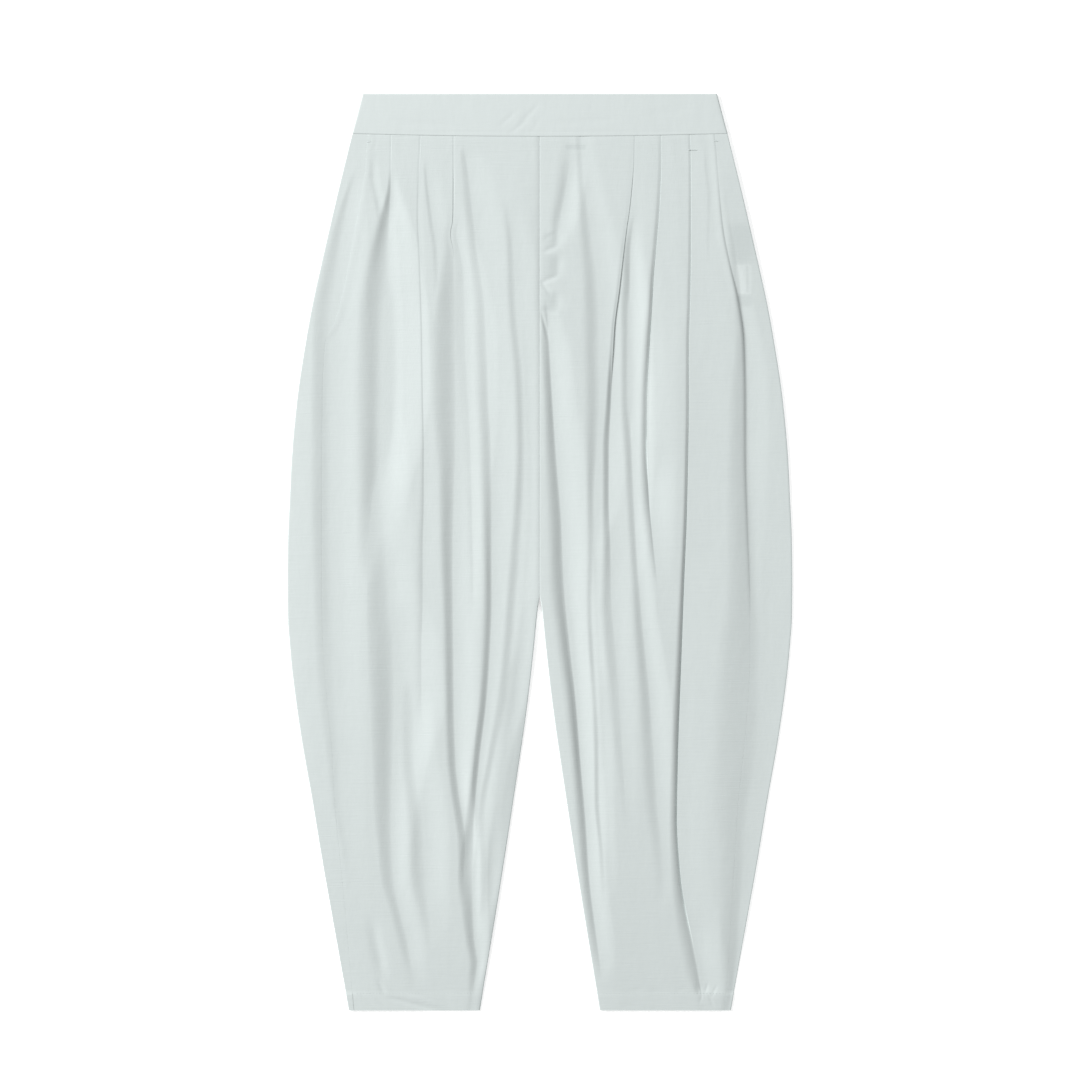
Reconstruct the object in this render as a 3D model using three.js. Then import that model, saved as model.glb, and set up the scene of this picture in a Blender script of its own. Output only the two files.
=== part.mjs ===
// Harem trousers: a plain waistband, pleated fronts, and full legs that taper to narrow turned hems.
// They lie flat on their back, front side up. X runs across (the wearer's left is +X), Y from hem to
// waist and Z up. The origin is the middle of the footprint, on the surface that they lie on.
// Each leg is a tube of two pieces. The back piece lies flat, rolls round the leg's outer edge and
// comes forward to the side seam. The front piece runs from there to the centre seam and the inseam,
// and carries the pleats. All sizes are in millimetres, and "up" is the height above the hem.
import * as THREE from "three";

// Lengths, from the hem.
const LENGTH = 962;
const WAIST_SEAM_UP = 917; // the waistband's lower seam at the centre
const WAIST_SEAM_RISE = 3; // how much higher that seam is at the sides
const CROTCH_UP = 434;
const HEM_DEPTH = 18;
const HEM_STEP = 1.4; // the length over which the hem's wall thins to the leg's
const CALF_UP = 50; // the first section above the hem
const HIP_UP = 760; // the waist seam's rise starts here
const POCKET_END_UP = 701; // the lower end of the pocket mouth in each side seam

// Cloth.
const WALL = 1;
const HEM_WALL = 1.5; // the hem is turned up, so it is thicker
const BAND_WALL = 2.2; // the waistband is doubled
const SEAM_GAP = 0.3; // between two pieces, and between two layers of one piece
const PITCH = WALL + SEAM_GAP; // between the middles of two layers
const BEND = PITCH / 2; // the radius of a pleat's fold, at the middle of the wall

// The roll at a leg's outer edge, and how fast the front layer rises from its edges.
const EDGE_HEIGHT = 3.2;
const EDGE_ROLL = 2.4;
const OUTER_RISE = 20;
const INNER_RISE = 14;
const POCKET_LAP = 4.5; // the front's edge laps over the side seam this far at the pocket mouth
const SEAM_MARGIN = 1; // the front's last point before the side seam
const POCKET_EASE = 12; // the length of seam in which that lap lifts, and then moves out

// Where a back piece has its points: across the strip beside the side seam, round the roll (out as a
// share of the roll, height as a share of the layers' distance), and across the underside.
const SIDE_POINTS = [0, 0.25, 0.5, 0.75, 1];
const ROLL_POINTS = [
  { out: 0.7, height: 0.85 },
  { out: 1, height: 0.5 },
  { out: 0.7, height: 0.15 },
];
const UNDERSIDE_POINTS = [0, 0.35, 0.7, 1];

// The waistband's section: across as a share of its half width, wall as a share of BAND_WALL.
const BAND_POINTS = [
  { across: -1, wall: 0.6 },
  { across: -0.985, wall: 1 },
  { across: -0.5, wall: 1 },
  { across: 0, wall: 1 },
  { across: 0.5, wall: 1 },
  { across: 0.985, wall: 1 },
  { across: 1, wall: 0.6 },
];
const BAND_STEPS = 4;

// Folds keep this far apart, and this far from a piece's edges.
const FOLD_SPACE = 9;
const EDGE_SPACE = 5;
const FOLD_POINT = 0.08; // how round a fold's bottom is, as a share of its width
const FOLD_NARROWS = 0.4; // the share of its width that a fold has where it runs out
const JUST_BESIDE = 0.01;
const LIP_SINK = 0.08; // how much of a pleat's depth its lip shares while it is folded
const LIP_FADE = 70; // the length in which an opened pleat turns into a plain fold
const LIP_CLEAR = 0.9; // the layer under a pleat stays low for this far past its lip
const OPENED_PLEAT = [-2.1, -1.4, -0.7, 0, 0.7, 1.4, 2.1]; // its points when it is a plain fold
const PLEAT_SPACE = 2.9; // from a pleat's line to the next point across
const POINT_SPACE = 1.6; // from a fold's line to the next point across
const NEAR_SHARE = 0.35; // the same as a share of the fold's width
const NEAR_LIMIT = 0.3; // the most that it is, as a share of the gap to the next fold
const FAR_LIMIT = 0.45; // the same for the point where the fold's slope ends
const STEP_SHARE = 0.25; // the height of a fold's bend is at most this share of the pleat's step
const SHARPEST = 0.5; // limits how far a wall's corner reaches out at a sharp bend
const LAYER_SHARE = 1.9; // the depth of the layer folded under, in bends
const SOFT_FLOOR = 0.3; // how gently a fold comes to rest on the back layer

// The outline of the flat garment: half widths from the centre line.
const OUTLINE = [
  { up: 962, outer: 186, inner: 0 },
  { up: 850, outer: 213.5, inner: 0 },
  { up: 745, outer: 238, inner: 0 },
  { up: 640, outer: 255, inner: 0 },
  { up: 535, outer: 263, inner: 0 },
  { up: 450, outer: 265, inner: 0 },
  { up: 388, outer: 263, inner: 5.3 },
  { up: 325, outer: 256.2, inner: 12.6 },
  { up: 220, outer: 238.9, inner: 27.8 },
  { up: 0, outer: 200.5, inner: 63 },
];

// The height of the front layer's middle: on its crown, and at the centre seam or the inseam.
const LOFT = [
  { up: 962, crown: 4.7, seam: 4.6 },
  { up: 917, crown: 4.7, seam: 4.6 },
  { up: 850, crown: 5, seam: 4.5 },
  { up: 745, crown: 5.4, seam: 4 },
  { up: 600, crown: 5.4, seam: 3.4 },
  { up: 480, crown: 5.4, seam: 2.4 },
  { up: 434, crown: 5.4, seam: 1.8 },
  { up: 300, crown: 5.4, seam: 1.8 },
  { up: 150, crown: 5, seam: 1.8 },
  { up: 50, crown: 3.8, seam: 1.8 },
  { up: 0, crown: 2.7, seam: 1.8 },
];

// The folds of each front, from the centre outwards, one row each. x is the fold's line, measured from
// the centre line at the heights in up, and depth is how far it sinks there. inner and outer are the
// widths of its two slopes. A pleat also has tuck, the cloth folded under at the waist, which has all
// come out at tuckTo, and lip, the side whose layer lies on top.
const LEFT_FOLDS = [
  {
    name: "fly_drape",
    up: [905, 850, 800, 745, 640, 430, 325, 150, 50],
    x: [34, 18, 8, 6, 9.7, 19.1, 32.8, 47, 58],
    depth: [0, 0.8, 0.6, 1.1, 2.9, 3.4, 3.3, 2.1, 0],
    inner: 8,
    outer: 14,
  },
  {
    name: "thigh_drape",
    up: [905, 850, 745, 640, 430, 325, 167, 100],
    x: [43.3, 45.4, 50.6, 53.2, 50.6, 55.9, 62.2, 70],
    depth: [0.2, 0.9, 1.5, 1.6, 1.6, 1.5, 0.9, 0],
    inner: 12,
    outer: 10,
  },
  {
    name: "front_pleat",
    up: [917, 850, 745, 640, 535, 430, 325, 220],
    x: [99, 92.6, 80, 70.9, 69.5, 72.7, 77.9, 83],
    depth: [1.2, 1.5, 3.1, 3.8, 3.6, 2.7, 1.4, 0],
    inner: 8,
    outer: 10,
    tuck: 14,
    tuckTo: 590,
    lip: "inner",
  },
  {
    name: "between_fold",
    up: [785, 692, 587, 482, 377, 272, 170],
    x: [88, 90.5, 93.1, 98.4, 106.8, 114, 121],
    depth: [0, 1.8, 2.1, 1.8, 1.4, 1, 0],
    inner: 8,
    outer: 9,
  },
  {
    name: "middle_pleat",
    up: [917, 850, 745, 640, 587, 535, 482, 440],
    x: [127.3, 124.1, 115.7, 108.4, 108.4, 110.5, 116.8, 124],
    depth: [1.2, 1.4, 3, 3.4, 3, 2.2, 1.1, 0],
    inner: 8,
    outer: 6,
    tuck: 14,
    tuckTo: 620,
    lip: "outer",
  },
  {
    name: "long_pleat",
    up: [917, 745, 535, 325, 220, 167, 115, 62, 20],
    x: [156.7, 156.1, 153, 145.1, 142, 143, 147.2, 154.6, 164],
    depth: [1.2, 1.5, 2.9, 3.1, 2.9, 2.4, 1.8, 1, 0.1],
    inner: 13,
    outer: 6,
    tuck: 13,
    tuckTo: 170,
    lip: "outer",
  },
];

const RIGHT_FOLDS = [
  {
    name: "fly_drape",
    up: [850, 745, 640, 587, 482, 377, 325, 272, 200],
    x: [43.9, 32.3, 21.8, 21.8, 26, 33.4, 38.1, 47, 57],
    depth: [0, 0.9, 1.4, 1.4, 1.4, 1.4, 1.4, 0.9, 0],
    inner: 9,
    outer: 10,
  },
  {
    name: "knee_fold",
    up: [902, 797, 692, 587, 482, 377, 272, 220, 167, 115, 62, 22],
    x: [84.8, 72.2, 62.8, 55.4, 53.9, 56.5, 64.9, 70.1, 73.8, 74.3, 69.6, 66],
    depth: [0, 1.1, 1.8, 2.5, 2.9, 3.1, 3.4, 3.3, 2.9, 2, 1, 0.1],
    inner: 9,
    outer: 11,
  },
  {
    name: "front_pleat",
    up: [917, 850, 797, 745, 692, 587, 482, 377, 272, 220, 167, 130],
    x: [91.1, 91.1, 94.3, 98.5, 101.1, 100.6, 97.4, 93.2, 91.7, 88.5, 82.5, 80],
    depth: [1.2, 1.4, 2.2, 3.1, 3.6, 3.4, 3.1, 2.9, 2.7, 2.2, 1.4, 0],
    inner: 12,
    outer: 14,
    tuck: 12,
    tuckTo: 775,
    lip: "outer",
  },
  {
    name: "middle_pleat",
    up: [917, 797, 692, 587, 482, 377, 300],
    x: [124.7, 126.3, 123.7, 121.1, 122.6, 125.8, 124],
    depth: [1.2, 1.2, 1.2, 1.4, 1.4, 0.7, 0],
    inner: 8,
    outer: 8,
    tuck: 10,
    tuckTo: 540,
    lip: "outer",
  },
  {
    name: "calf_fold",
    up: [360, 325, 272, 220, 167, 115, 70],
    x: [152, 147.8, 141.5, 135.2, 126.8, 122.6, 118],
    depth: [0, 0.7, 1, 1.1, 1.1, 0.7, 0],
    inner: 14,
    outer: 7,
  },
  {
    name: "shin_fold",
    up: [598, 482, 430, 325, 220, 167, 115, 62, 30],
    x: [160.4, 160, 159.5, 161.5, 163.6, 160.4, 152, 139.4, 132],
    depth: [0, 0.9, 1.6, 2.2, 2.1, 1.8, 1.4, 0.7, 0],
    inner: 10,
    outer: 20,
  },
  {
    name: "side_pleat",
    up: [917, 870, 845, 818, 787, 745, 640, 535, 482, 420],
    x: [154.1, 157, 160, 167.8, 174, 178.3, 179.3, 182.5, 183.5, 184],
    depth: [1.2, 1.3, 1.8, 2.1, 2.3, 2.4, 2.2, 1.8, 1.1, 0],
    inner: 14,
    outer: 14,
    tuck: 10,
    tuckTo: 800,
    lip: "inner",
  },
];

// The side seams, which sink into the folds beside them. The columns are those of a fold.
const LEFT_SIDE_SEAM = {
  name: "side_seam",
  up: [917, 850, 797, 745, 692, 587, 430, 325, 220, 115, 0],
  x: [183, 189, 196.6, 207, 213.5, 215, 219.7, 219.5, 213, 205, 195],
  depth: [0.1, 0.5, 0.9, 1.8, 2.4, 2.4, 1.8, 1.2, 0.7, 0.4, 0],
  inner: 15,
  outer: 9,
};
const RIGHT_SIDE_SEAM = {
  name: "side_seam",
  up: [917, 850, 797, 745, 692, 587, 430, 325, 220, 115, 0],
  x: [178.3, 187, 196, 205.5, 221.5, 222, 219.2, 216, 213, 205, 195],
  depth: [0.1, 0.5, 0.6, 0.7, 1, 1.4, 1.3, 0.9, 0.5, 0.3, 0],
  inner: 6,
  outer: 16,
};

const clamp = (value, low, high) => Math.min(Math.max(value, low), high);
const mix = (a, b, share) => a + (b - a) * share;
const ease = (share) => {
  const t = clamp(share, 0, 1);
  return t * t * (3 - 2 * t);
};
const roundOff = (share) => 1 - (1 - clamp(share, 0, 1)) ** 2; // steep at first, level at the end
const softMax = (a, b) => (a + b + Math.hypot(a - b, SOFT_FLOOR)) / 2;

/** A smooth curve through values at the heights ups, level beyond its ends. */
function curveThrough(ups, values) {
  const knots = ups.map((up, i) => ({ up, value: values[i] }));
  knots.sort((a, b) => a.up - b.up);
  const last = knots.length - 1;
  const slopes = knots.map((_, i) => {
    const before = knots[Math.max(i - 1, 0)];
    const after = knots[Math.min(i + 1, last)];
    return (after.value - before.value) / (after.up - before.up);
  });
  return (up) => {
    if (up <= knots[0].up) return knots[0].value;
    if (up >= knots[last].up) return knots[last].value;
    const i = knots.findIndex((knot) => knot.up > up) - 1;
    const span = knots[i + 1].up - knots[i].up;
    const t = (up - knots[i].up) / span;
    return (
      knots[i].value * (1 + 2 * t) * (1 - t) ** 2 +
      knots[i + 1].value * t * t * (3 - 2 * t) +
      slopes[i] * span * t * (1 - t) ** 2 -
      slopes[i + 1] * span * t * t * (1 - t)
    );
  };
}

const column = (table, name) =>
  curveThrough(
    table.map((row) => row.up),
    table.map((row) => row[name]),
  );

const outerAt = column(OUTLINE, "outer");
const innerCurve = column(OUTLINE, "inner");
const crownAt = column(LOFT, "crown");
const seamLoftAt = column(LOFT, "seam");

/** The inner edge of a leg: the centre seam above the crotch, and the inseam below it. */
const innerAt = (up) =>
  up >= CROTCH_UP ? SEAM_GAP / 2 : Math.max(SEAM_GAP / 2, innerCurve(up));

const wallAt = (up) => (up < HEM_DEPTH ? HEM_WALL : WALL);

/** The lowest that the middle of the front layer lies: on the back layer, a seam gap clear of it. */
const floorAt = (up) => 1.5 * wallAt(up) + SEAM_GAP;

/** The front layer's middle at x with no folds in it. */
function loftAt(x, up) {
  const low = Math.max(seamLoftAt(up), floorAt(up));
  const edge = Math.max(wallAt(up) / 2 + EDGE_HEIGHT, floorAt(up));
  const crown = Math.max(crownAt(up), edge);
  const fromSeam = mix(low, crown, roundOff((x - innerAt(up)) / INNER_RISE));
  const fromEdge = mix(edge, crown, roundOff((outerAt(up) - EDGE_ROLL - x) / OUTER_RISE));
  return Math.min(fromSeam, fromEdge);
}

/** A fold's place, depths, widths and tuck at one height. */
function foldAt(fold, up) {
  const top = Math.max(...fold.up);
  const bottom = Math.min(...fold.up);
  const nearest = clamp(up, bottom, top);
  const inner = innerAt(nearest);
  const place = curveThrough(fold.up, fold.x)(nearest);
  const share = (place - inner) / (outerAt(nearest) - inner);
  const centre = mix(innerAt(up), outerAt(up), share);
  const deepest = Math.max(...fold.depth);
  const depth = Math.max(curveThrough(fold.up, fold.depth)(up), 0);
  const spread = mix(FOLD_NARROWS, 1, depth / deepest);
  const tuckLeft = fold.tuck ? (up - fold.tuckTo) / (WAIST_SEAM_UP - fold.tuckTo) : 0;
  const tuck = fold.tuck ? fold.tuck * Math.sqrt(clamp(tuckLeft, 0, 1)) : 0;
  const opened = fold.tuck ? ease((fold.tuckTo - up) / LIP_FADE) : 1;
  const lipDepth = depth * mix(LIP_SINK, 1, opened);
  return {
    centre,
    tuck,
    opened,
    pleated: Boolean(fold.tuck),
    side: fold.lip === "inner" ? 1 : -1,
    innerWidth: fold.inner * spread,
    outerWidth: fold.outer * spread,
    innerDepth: fold.lip === "inner" ? lipDepth : depth,
    outerDepth: fold.lip === "outer" ? lipDepth : depth,
  };
}

/** All folds of a front at one height, kept in order and apart. */
function foldsAt(leg, up) {
  const folds = leg.folds.map((fold) => foldAt(fold, up));
  const seam = foldAt(leg.sideSeam, up);
  let lowest = innerAt(up) + EDGE_SPACE;
  for (const fold of folds) {
    fold.centre = Math.max(fold.centre, lowest);
    lowest = fold.centre + FOLD_SPACE;
  }
  let highest = seam.centre - FOLD_SPACE;
  for (const fold of [...folds].reverse()) {
    fold.centre = Math.min(fold.centre, highest);
    highest = fold.centre - FOLD_SPACE;
  }
  return { folds, seam };
}

/** How far one fold sinks the cloth at x. */
function sinkOf(fold, x) {
  const inside = x < fold.centre;
  const width = inside ? fold.innerWidth : fold.outerWidth;
  const depth = inside ? fold.innerDepth : fold.outerDepth;
  const away = Math.hypot((x - fold.centre) / width, FOLD_POINT) - FOLD_POINT;
  return away < 1 ? depth * (1 - away) ** 2 : 0;
}

/** The middle of the front layer at x, folds included. */
function heightAt(x, up, { folds, seam }) {
  const sunk = [...folds, seam].reduce((sum, fold) => sum + sinkOf(fold, x), 0);
  return softMax(loftAt(x, up) - sunk, floorAt(up));
}

/**
 * The points across a pleat: its lip, the layer folded back under it and the layer below. Further
 * down, where no cloth is folded under, they are a step, and then a plain fold.
 */
function pleatPoints(fold, up, all) {
  const { centre, side, opened, tuck } = fold;
  const least = 2 * PITCH * (1 - opened);
  const lipSide = heightAt(centre - side * JUST_BESIDE, up, all);
  const openSide = heightAt(centre + side * JUST_BESIDE, up, all);
  const bottom = Math.max(Math.min(openSide, lipSide - least), floorAt(up));
  const lip = Math.max(lipSide, bottom + least);
  const bend = Math.min(BEND, STEP_SHARE * (lip - bottom));
  const layer = LAYER_SHARE * bend;
  const turn = Math.min(BEND, tuck / 2);
  const folded = [
    [-BEND, lip],
    [0, lip - bend],
    [-turn, lip - layer],
    [turn - tuck, bottom + layer],
    [-tuck, bottom + bend],
    [turn - tuck, bottom],
    [LIP_CLEAR, bottom],
  ];
  const points = folded.map(([across, height], i) => {
    const flat = OPENED_PLEAT[i];
    const flatHeight = heightAt(centre + side * flat, up, all);
    return [centre + side * mix(across, flat, opened), mix(height, flatHeight, opened)];
  });
  return side > 0 ? points : points.reverse();
}

/** The points of the cloth between one fold, or edge, and the next. */
function pointsBetween(from, to, up, all) {
  const gap = to.centre - from.centre;
  const near = (stop, width) => {
    const least = stop.pleated ? PLEAT_SPACE : POINT_SPACE;
    return Math.min(Math.max(NEAR_SHARE * width, least), NEAR_LIMIT * gap);
  };
  const far = (width, nearer) => Math.max(Math.min(width, FAR_LIMIT * gap), nearer + POINT_SPACE / 2);
  const start = near(from, from.outerWidth);
  const end = near(to, to.innerWidth);
  return [
    from.centre + start,
    from.centre + far(from.outerWidth, start),
    to.centre - far(to.innerWidth, end),
    to.centre - end,
  ].map((x) => [x, heightAt(x, up, all)]);
}

/** How far the pocket mouth's lap has lifted, and how far it has moved out, at one height. */
function pocketLap(up) {
  const lifted = clamp((up - POCKET_END_UP) / POCKET_EASE, 0, 1);
  const out = clamp((up - POCKET_END_UP) / POCKET_EASE - 1, 0, 1);
  return { lift: PITCH * lifted, out: POCKET_LAP * out };
}

/** The middle line of a front piece at one height, from its inner edge to the side seam. */
function frontLine(leg, up) {
  const all = foldsAt(leg, up);
  const inner = innerAt(up);
  const edge = { centre: inner, outerWidth: EDGE_SPACE };
  const stops = [edge, ...all.folds, all.seam];
  const line = [[inner, heightAt(inner, up, all)]];
  stops.slice(0, -1).forEach((stop, i) => {
    if (stop.pleated) line.push(...pleatPoints(stop, up, all));
    else if (i > 0) line.push([stop.centre, heightAt(stop.centre, up, all)]);
    line.push(...pointsBetween(stop, stops[i + 1], up, all));
  });
  const { lift, out } = pocketLap(up);
  line.push([all.seam.centre - SEAM_MARGIN, heightAt(all.seam.centre, up, all) + lift]);
  const end = all.seam.centre - SEAM_GAP / 2 + out;
  line.push([end, heightAt(end, up, all) + lift]);
  return line;
}

/** The middle line of a back piece: from the side seam, round the outer edge, to the inner edge. */
function backLine(leg, up) {
  const all = foldsAt(leg, up);
  const wall = wallAt(up);
  const outer = outerAt(up) - wall / 2;
  const start = all.seam.centre + SEAM_GAP / 2;
  const roll = outer - EDGE_ROLL;
  const bottom = wall / 2;
  const upper = SIDE_POINTS.map((share) => {
    const x = mix(start, roll, share);
    return [x, heightAt(x, up, all)];
  });
  const top = upper[upper.length - 1][1];
  const round = ROLL_POINTS.map(({ out, height }) => [roll + out * EDGE_ROLL, mix(bottom, top, height)]);
  const lower = UNDERSIDE_POINTS.map((share) => [mix(roll, innerAt(up), share), bottom]);
  return [...upper, ...round, ...lower];
}

/** A middle line thickened into a closed ring, with upright ends. */
function ringOf(line, wall) {
  const half = wall / 2;
  const last = line.length - 1;
  const direction = (i) => {
    const [x0, z0] = line[i];
    const [x1, z1] = line[i + 1];
    const size = Math.hypot(x1 - x0, z1 - z0);
    return [(x1 - x0) / size, (z1 - z0) / size];
  };
  const offsets = line.map((_, i) => {
    if (i === 0) return [0, Math.sign(direction(0)[0]) * half];
    if (i === last) return [0, Math.sign(direction(last - 1)[0]) * half];
    const [ax, az] = direction(i - 1);
    const [bx, bz] = direction(i);
    const size = Math.hypot(ax + bx, az + bz);
    const [dx, dz] = [(ax + bx) / size, (az + bz) / size];
    const reach = half / Math.max(dx * bx + dz * bz, SHARPEST);
    return [-dz * reach, dx * reach];
  });
  const shifted = (sign) => line.map(([x, z], i) => [x + sign * offsets[i][0], z + sign * offsets[i][1]]);
  return [...shifted(1), ...shifted(-1).reverse()];
}

/** A closed geometry lofted through rings of equally many points, each a list of [x, y, z]. */
function loftGeometry(rings, mirrored) {
  const count = rings[0].length;
  const half = count / 2;
  const positions = rings.flat(2);
  const faces = [];
  const addFace = (a, b, c) => faces.push(...(mirrored ? [a, c, b] : [a, b, c]));
  const addQuad = (a, b, c, d) => {
    addFace(a, b, c);
    addFace(a, c, d);
  };
  for (let row = 0; row + 1 < rings.length; row += 1) {
    for (let i = 0; i < count; i += 1) {
      const next = (i + 1) % count;
      addQuad(row * count + i, row * count + next, (row + 1) * count + next, (row + 1) * count + i);
    }
  }
  const end = (rings.length - 1) * count;
  for (let i = 0; i + 1 < half; i += 1) {
    addQuad(count - 1 - i, count - 2 - i, i + 1, i);
    addQuad(end + i, end + i + 1, end + count - 2 - i, end + count - 1 - i);
  }
  const geometry = new THREE.BufferGeometry();
  geometry.setAttribute("position", new THREE.Float32BufferAttribute(positions, 3));
  geometry.setIndex(faces);
  geometry.computeVertexNormals();
  return geometry;
}

/** The waistband's lower seam at x, above the hem. */
const waistSeamAt = (x) => WAIST_SEAM_UP + WAIST_SEAM_RISE * (x / outerAt(WAIST_SEAM_UP)) ** 2;

const LEG_TOP = WAIST_SEAM_UP - SEAM_GAP / 2;

/** The heights of a leg's sections: closer at the hem and at the pocket's end. */
function sectionHeights() {
  const evenly = (from, to, count) =>
    Array.from({ length: count }, (_, i) => mix(from, to, i / count));
  return [
    0,
    HEM_DEPTH - HEM_STEP / 2,
    HEM_DEPTH + HEM_STEP / 2,
    ...evenly(CALF_UP, CROTCH_UP, 9),
    ...evenly(CROTCH_UP, POCKET_END_UP, 6),
    POCKET_END_UP,
    POCKET_END_UP + POCKET_EASE,
    POCKET_END_UP + 2 * POCKET_EASE,
    ...evenly(HIP_UP, LEG_TOP, 4),
    LEG_TOP,
  ];
}

/** One leg piece lofted from its middle lines, on the side of the centre line that sign gives. */
function legPiece(name, lineAt, leg, material) {
  const rings = sectionHeights().map((up) => {
    const rise = ease((up - HIP_UP) / (LEG_TOP - HIP_UP));
    return ringOf(lineAt(leg, up), wallAt(up)).map(([x, z]) => [
      leg.sign * x,
      up + rise * (waistSeamAt(x) - WAIST_SEAM_UP) - LENGTH / 2,
      z,
    ]);
  });
  const mesh = new THREE.Mesh(loftGeometry(rings, leg.sign < 0), material);
  mesh.name = name;
  return mesh;
}

/** Half of the waistband: a doubled strip from one side of the garment to the other. */
function waistbandPiece(name, bottom, material) {
  const rings = Array.from({ length: BAND_STEPS + 1 }, (_, step) => {
    const raised = step / BAND_STEPS;
    const widest = outerAt(mix(WAIST_SEAM_UP + WAIST_SEAM_RISE, LENGTH, raised));
    const line = BAND_POINTS.map(({ across, wall }) => {
      const x = across * widest;
      const y = mix(waistSeamAt(x) + SEAM_GAP / 2, LENGTH, raised) - LENGTH / 2;
      return { x, y, top: bottom + wall * BAND_WALL };
    });
    const upper = line.map(({ x, y, top }) => [x, y, top]);
    const lower = line.map(({ x, y }) => [x, y, bottom]);
    return [...upper, ...lower.reverse()];
  });
  const mesh = new THREE.Mesh(loftGeometry(rings, false), material);
  mesh.name = name;
  return mesh;
}

const clothMaterial = (name, color) =>
  Object.assign(new THREE.MeshStandardMaterial({ color, roughness: 0.62, metalness: 0 }), { name });

const trousers = new THREE.Group();
trousers.name = "harem_trousers";
const shell = clothMaterial("cloth", 0xd5dfde);
const band = clothMaterial("waistband", 0xd7e0df);
const legs = [
  { side: "left", sign: 1, folds: LEFT_FOLDS, sideSeam: LEFT_SIDE_SEAM },
  { side: "right", sign: -1, folds: RIGHT_FOLDS, sideSeam: RIGHT_SIDE_SEAM },
];
for (const leg of legs) {
  trousers.add(legPiece(`front_${leg.side}`, frontLine, leg, shell));
  trousers.add(legPiece(`back_${leg.side}`, backLine, leg, shell));
}
trousers.add(waistbandPiece("waistband_back", 0, band));
trousers.add(waistbandPiece("waistband_front", BAND_WALL + SEAM_GAP, band));

export default trousers;
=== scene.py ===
"""Harem trousers laid flat: fine cloth shells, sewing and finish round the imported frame.

Everything is in metres and in the frame's axes: X across (the wearer's left leg is +X), Y from the
hems to the waist, Z up from the surface that the garment lies on. In the tables "up" is the height
above the hem and "x" the distance from the centre line, the same on both legs.
"""

import logging
import math
from dataclasses import dataclass
from enum import Enum
from typing import NamedTuple

import bpy
import numpy as np
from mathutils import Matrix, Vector

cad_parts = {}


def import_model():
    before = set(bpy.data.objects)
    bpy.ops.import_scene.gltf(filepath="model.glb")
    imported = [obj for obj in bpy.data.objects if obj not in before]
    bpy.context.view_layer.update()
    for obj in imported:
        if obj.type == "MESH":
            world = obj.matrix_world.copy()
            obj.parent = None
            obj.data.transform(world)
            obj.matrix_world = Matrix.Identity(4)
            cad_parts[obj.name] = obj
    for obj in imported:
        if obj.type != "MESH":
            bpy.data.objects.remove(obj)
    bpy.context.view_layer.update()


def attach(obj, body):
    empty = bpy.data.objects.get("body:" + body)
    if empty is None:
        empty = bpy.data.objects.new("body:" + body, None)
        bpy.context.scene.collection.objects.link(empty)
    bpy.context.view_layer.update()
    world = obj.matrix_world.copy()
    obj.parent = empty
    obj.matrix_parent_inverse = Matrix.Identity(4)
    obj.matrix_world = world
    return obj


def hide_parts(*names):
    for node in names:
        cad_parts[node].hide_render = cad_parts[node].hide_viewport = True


LOG = logging.getLogger("harem_trousers")

Array = np.ndarray
Colour = tuple[float, float, float]
Piece = bpy.types.Object
Material = bpy.types.Material
Node = bpy.types.Node
Socket = bpy.types.NodeSocket
Tree = bpy.types.NodeTree

# ---- Driving sizes, in metres ----

LENGTH = 0.962
WAIST_SEAM_UP = 0.917
WAIST_SEAM_RISE = 0.003  # how much higher the waist seam is at the sides
HIP_UP = 0.760  # that rise starts here
CROTCH_UP = 0.434
HEM_DEPTH = 0.018
POCKET_END_UP = 0.701
CLOTH = 0.00014  # the thickness of one layer
SEAM_GAP = 0.0001  # between two sewn panels
SIDE_GAP = 0.00004  # the same at the side seams, which are pressed flat
PITCH = 0.00017  # between the middles of two layers that lie on each other
BEND = PITCH / 2
EDGE_HEIGHT = 0.0036
EDGE_ROLL = 0.0006
FLOOR = 0.0008  # the least height of the front layer's middle
WAVE = 0.0003
OUTER_RISE = 0.045
INNER_RISE = 0.030
INNER_ROLL = 0.0005  # the leg's inner edge rolls down over this width
DEPTH = 0.64  # the share of a fold's depth that is left in the cloth when it is laid flat
STEEP = 0.68  # the same for the width of its steep slope
GENTLE = 1.60  # and for the width of its long slope
EDGE_SPACE = 0.005
FOLD_SPACE = 0.0060
PLEAT_SPACE = 0.0050  # between a pleat that has run out and the next fold
RUN_OUT_SPACE = 0.0020  # the same for a fold
SHALLOW = 0.0003  # a fold that sinks less than this is running out
SOFT_FLOOR = 0.0003  # over this height folds level out at the floor
THREAD_END = 0.35  # how thin a stitch's ends are, as a share of its radius
CREASE_FADE = 1.25  # a crease has faded out this many half lengths from its middle
SHARP_ANGLE = 58.0  # degrees; edges that turn by more are shaded sharp
FRAME_PIXELS = 1080
METRES_PER_PIXEL = 0.00105


class Side(Enum):
    """Which leg a piece belongs to; the value is the sign of its X."""

    LEFT = 1
    RIGHT = -1

    @property
    def label(self) -> str:
        """The side's name in piece names."""
        return self.name.lower()


class Lip(Enum):
    """Which side of a pleat's line carries the layer on top; the value points away from it."""

    INNER = 1
    OUTER = -1


# ---- Small numeric helpers ----


def mix(low: Array | float, high: Array | float, share: Array | float) -> Array:
    """Blends from low to high by share."""
    return low + (high - low) * share


def ease(share: Array | float) -> Array:
    """A smooth step from 0 to 1."""
    t = np.clip(share, 0.0, 1.0)
    return t * t * (3 - 2 * t)


def near_edge(share: Array) -> Array:
    """How far a quarter circle has rolled down: 1 at the edge itself, 0 where share reaches 1."""
    return 1 - np.sqrt(1 - (1 - share) ** 2)


def round_off(share: Array | float) -> Array:
    """Rises steeply at first and levels out at 1."""
    return 1 - (1 - np.clip(share, 0.0, 1.0)) ** 2


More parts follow.
